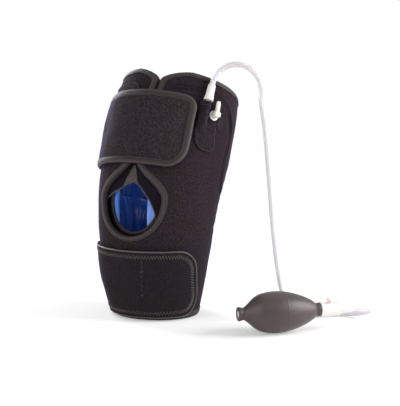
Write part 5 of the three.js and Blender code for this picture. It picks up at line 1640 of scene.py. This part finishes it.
class KNEEWRAP_OT_ports(bpy.types.Operator):
    """Inlet tube, the second port's flange, and the barbed elbow that swivels on it."""

    bl_idname = "kneewrap.ports"
    bl_label = "Ports"

    def execute(self, context):
        self.add_inlet()
        self.add_outlet()
        coat("inlet_flange", "plastic")
        return {"FINISHED"}

    def add_inlet(self):
        """Tube that leaves the fabric, turns in a quadratic curve and ends in a thicker sleeve."""
        off, foot, corner, mouth, axis = inlet_line()
        bend = 5 * MM
        before, after = corner - off * bend, corner + axis * bend
        t = np.linspace(0, 1, 20)[:, None]
        turn = (1 - t) ** 2 * before + 2 * t * (1 - t) * corner + t**2 * after
        root = foot - off * (SHELL_THICKNESS + 0.3 * MM)
        line = even_line(np.concatenate([[root], turn, [mouth]]), 0.5 * MM)
        walk = np.linalg.norm(line - mouth, axis=1)
        radius = np.where(walk < np.linalg.norm(after - mouth) - 1 * MM, TUBE_RADIUS, STEM_RADIUS)
        lip = STEM_RADIUS + (TUBE_RADIUS - STEM_RADIUS) * walk / (1.2 * MM)
        rings = tube_rings(line, np.where(walk < 1.2 * MM, lip, radius), 36)
        dress(carried("air_inlet_tube", rings, "plastic"), "wrap", "white_plastic", "inlet_tube")

    def add_outlet(self):
        """Flange, six-sided hub and barb. Heights are in millimetres over the fabric."""
        origin = wrap_point(ELBOW_ARC, ELBOW_ALONG, 0)
        _, up, off, _, _ = wrap_frame(ELBOW_ARC, ELBOW_ALONG)
        seat = TAPE_GAP / MM + 1.85
        flange = [[1.2, -4.3], [2.3, -4.3], [2.3, seat], [6.4, seat], [6.4, seat + 0.9], [5.7, seat + 1.4],
                  [2.3, seat + 1.4], [2.3, seat + 6], [1.2, seat + 6]]
        fitting("outlet_port_flange", flange, (origin, off, up), 0.4, "wrap", "outlet_flange")
        low = seat + 1.7
        top = low + 9
        outside = soft_corners([[2.6, low], [4.6, low], [4.6, top - 1], [3.6, top], [0.2, top]], 0.5)
        profile = MM * np.concatenate([outside, [[0.2, seat + 6.3], [2.6, seat + 6.3]]])
        hub = lathe("port_elbow_hub", profile, origin, off, up, "plastic", outline=self.six_sided)
        dress(hub, "elbow", "white_plastic", "port_elbow")
        _, y, z = local_axes(off, up)
        barb = [[1.2, 3.2], [2.8, 3.2], [2.8, 6.6], [3.2, 7.0], [2.7, 9.6], [2.7, 10.6], [3.1, 11.0],
                [2.4, 17.4], [1.2, 17.4]]
        fitting("port_elbow_barb", barb, (origin + y * (top - 4) * MM, z, y), 0.25, "elbow")

    def six_sided(self, turn):
        """Radius factor of a hexagon with rounded corners."""
        sector = (turn % (np.pi / 3)) - np.pi / 6
        return np.minimum(np.cos(np.pi / 6) / np.cos(sector), 0.965) / 0.965


class KNEEWRAP_OT_bulb(bpy.types.Operator):
    """Rubber squeeze bulb: a hollow pear with a neck at each end and a thin mould line round it."""

    bl_idname = "kneewrap.bulb"
    bl_label = "Squeeze bulb"

    def execute(self, context):
        outer = self.profile(0.0, 150)
        inner = self.profile(sizes("pump").bulb_wall, 40)[::-1]
        inner[:, 0] = np.maximum(inner[:, 0], 4.2 * MM)
        tail = MM * np.array([[4.2, 0], [8.2, 0], [8.6, 0.4], [8.6, 1.8], [8.2, 3.2], [7.6, 5.2]])
        outlet = MM * np.array([[8.5, 101.5], [8.6, 103.6], [8.3, 104], [5.4, 104], [5.4, 95]])
        line = np.concatenate([tail, outer, outlet, inner[1:]])
        bulb = lathe("squeeze_bulb", line, *PUMP_LINE, "rubber", sides=128, sharp=50)
        dress(bulb, "pump", "bulb_rubber", "pump_bulb")
        return {"FINISHED"}

    def profile(self, inset, steps):
        """Radius along the bulb: a line from neck to neck, plus a sine raised to a power, less the inset.
        The power falls from soft to round over the first quarter, so the tail's neck runs into the body."""
        pump = sizes("pump")
        at = (1 - np.cos(np.linspace(0, np.pi, steps))) / 2
        neck = MM * (7.4 + 0.8 * at)
        swell = np.sin(np.pi * at**0.85).clip(0, None) ** (1.3 - 0.58 * smoothstep(at, 0, 0.25))
        along = 7 * MM + 91 * MM * at
        line = pump.mould_line * np.exp(-((along - 57 * MM) / (0.45 * MM)) ** 2) if inset == 0 else 0
        return np.stack([neck + (pump.bulb_radius - neck) * swell - inset + line, along], 1)


class KNEEWRAP_OT_valve(bpy.types.Operator):
    """Release valve: body, button with its well and collar, ferrule on the hose, and the inner parts."""

    bl_idname = "kneewrap.valve"
    bl_label = "Release valve"

    def execute(self, context):
        self.add_body()
        self.add_button()
        seat = hose_seat()
        ferrule = [[seat, 131.2], [seat + 1.4, 131.2], [seat + 1.6, 133], [seat + 1.6, 144], [seat + 1, 147],
                   [seat, 147]]
        fitting("hose_ferrule_sleeve", ferrule, PUMP_LINE, 0.6, "pump", "hose_ferrule")
        coat("intake_valve_seat", "plastic")
        coat("intake_valve_disc", "seal")
        coat("check_valve_ball", "steel")
        coat("release_spring", "steel")
        return {"FINISHED"}

    def add_body(self):
        """Barrel turned in one piece, with the button's well cut into it, and a collar round the well."""
        body = MM * np.array([[1.4, 95], [5.1, 95], [5.1, 104.4], [9.2, 104.4], [9.2, 106.9], [8, 107.6],
                              [8, 128.9], [6, 130.9], [2.6, 130.9], [2.6, 134.9], [1.4, 134.9], [1.4, 105],
                              [3.1, 105], [3.1, 97.5], [1.4, 96]])
        valve = lathe("release_valve_barrel", body, *PUMP_LINE, "plastic", soft=0.5 * MM, sides=96)
        self.cut_well(valve)
        dress(valve, "pump", "white_plastic", "release_valve_body")
        collar = [[3.1, 5], [4.9, 5], [4.9, 7.8], [4.5, 8.2], [3.1, 8.2]]
        fitting("button_collar", collar, BUTTON_LINE, 0.4, "pump")

    def cut_well(self, valve):
        """Takes the button's well and the hole of its stem out of the barrel's mesh."""
        well = MM * np.array([[0.2, -1], [1.4, -1], [1.4, 2.5], [3.1, 2.5], [3.1, 11], [0.2, 11]])
        cutter = lathe("well_cutter", well, *BUTTON_LINE, "plastic", closed=False, sides=48)
        cut = valve.modifiers.new("well", "BOOLEAN")
        cut.operation = "DIFFERENCE"
        cut.solver = "EXACT"
        cut.object = cutter
        whole = valve.data
        drilled = valve.evaluated_get(bpy.context.evaluated_depsgraph_get())
        valve.data = bpy.data.meshes.new_from_object(drilled)
        valve.data.name = whole.name
        valve.modifiers.clear()
        bpy.data.meshes.remove(whole)
        bpy.data.meshes.remove(cutter.data)

    def add_button(self):
        """Stepped round button with a dished top."""
        low = 10.3
        outside = soft_corners([[0.2, 2.9], [1.1, 2.9], [1.1, 7.6], [2.7, 7.6], [2.7, low], [4.6, low],
                                [4.6, low + 2.4], [3.8, low + 3.2], [3.0, low + 3.1]], 0.4)
        at = np.linspace(0, 1, 10)[1:]
        dish = np.stack([3.0 - 2.8 * at, low + 3.1 - 0.35 * np.sin(np.pi / 2 * at)], 1)
        profile = MM * np.concatenate([outside, dish])
        button = lathe("release_push_button", profile, *BUTTON_LINE, "plastic", closed=False)
        dress(button, "release_button", "white_plastic", "release_button")


class KNEEWRAP_PT_panel(bpy.types.Panel):
    """List of the operators that make the wrap."""

    bl_idname = "KNEEWRAP_PT_panel"
    bl_label = "Knee cold wrap"
    bl_space_type = "VIEW_3D"
    bl_region_type = "UI"
    bl_category = "Knee wrap"

    def draw(self, context):
        for operator in OPERATORS:
            self.layout.operator(operator.bl_idname)


GROUPS = {"wrap": WrapSizes, "strap": StrapSizes, "pump": PumpSizes, "finish": Finish, "stage": StageSizes}
OPERATORS = (KNEEWRAP_OT_stage, KNEEWRAP_OT_cuff, KNEEWRAP_OT_hose, KNEEWRAP_OT_shell, KNEEWRAP_OT_bindings,
             KNEEWRAP_OT_lining, KNEEWRAP_OT_gel_packs, KNEEWRAP_OT_upper_strap, KNEEWRAP_OT_lower_strap,
             KNEEWRAP_OT_anchors, KNEEWRAP_OT_pocket, KNEEWRAP_OT_ports, KNEEWRAP_OT_bulb, KNEEWRAP_OT_valve)


def register():
    for item in (*GROUPS.values(), *OPERATORS, KNEEWRAP_PT_panel):
        bpy.utils.register_class(item)
    for name, group in GROUPS.items():
        setattr(bpy.types.Scene, "knee_wrap_" + name, bpy.props.PointerProperty(type=group))


def unregister():
    for name in GROUPS:
        delattr(bpy.types.Scene, "knee_wrap_" + name)
    for item in reversed((*GROUPS.values(), *OPERATORS, KNEEWRAP_PT_panel)):
        bpy.utils.unregister_class(item)


def main():
    register()
    for operator in OPERATORS:
        group, name = operator.bl_idname.split(".")
        getattr(getattr(bpy.ops, group), name)()


if __name__ == "__main__":
    main()
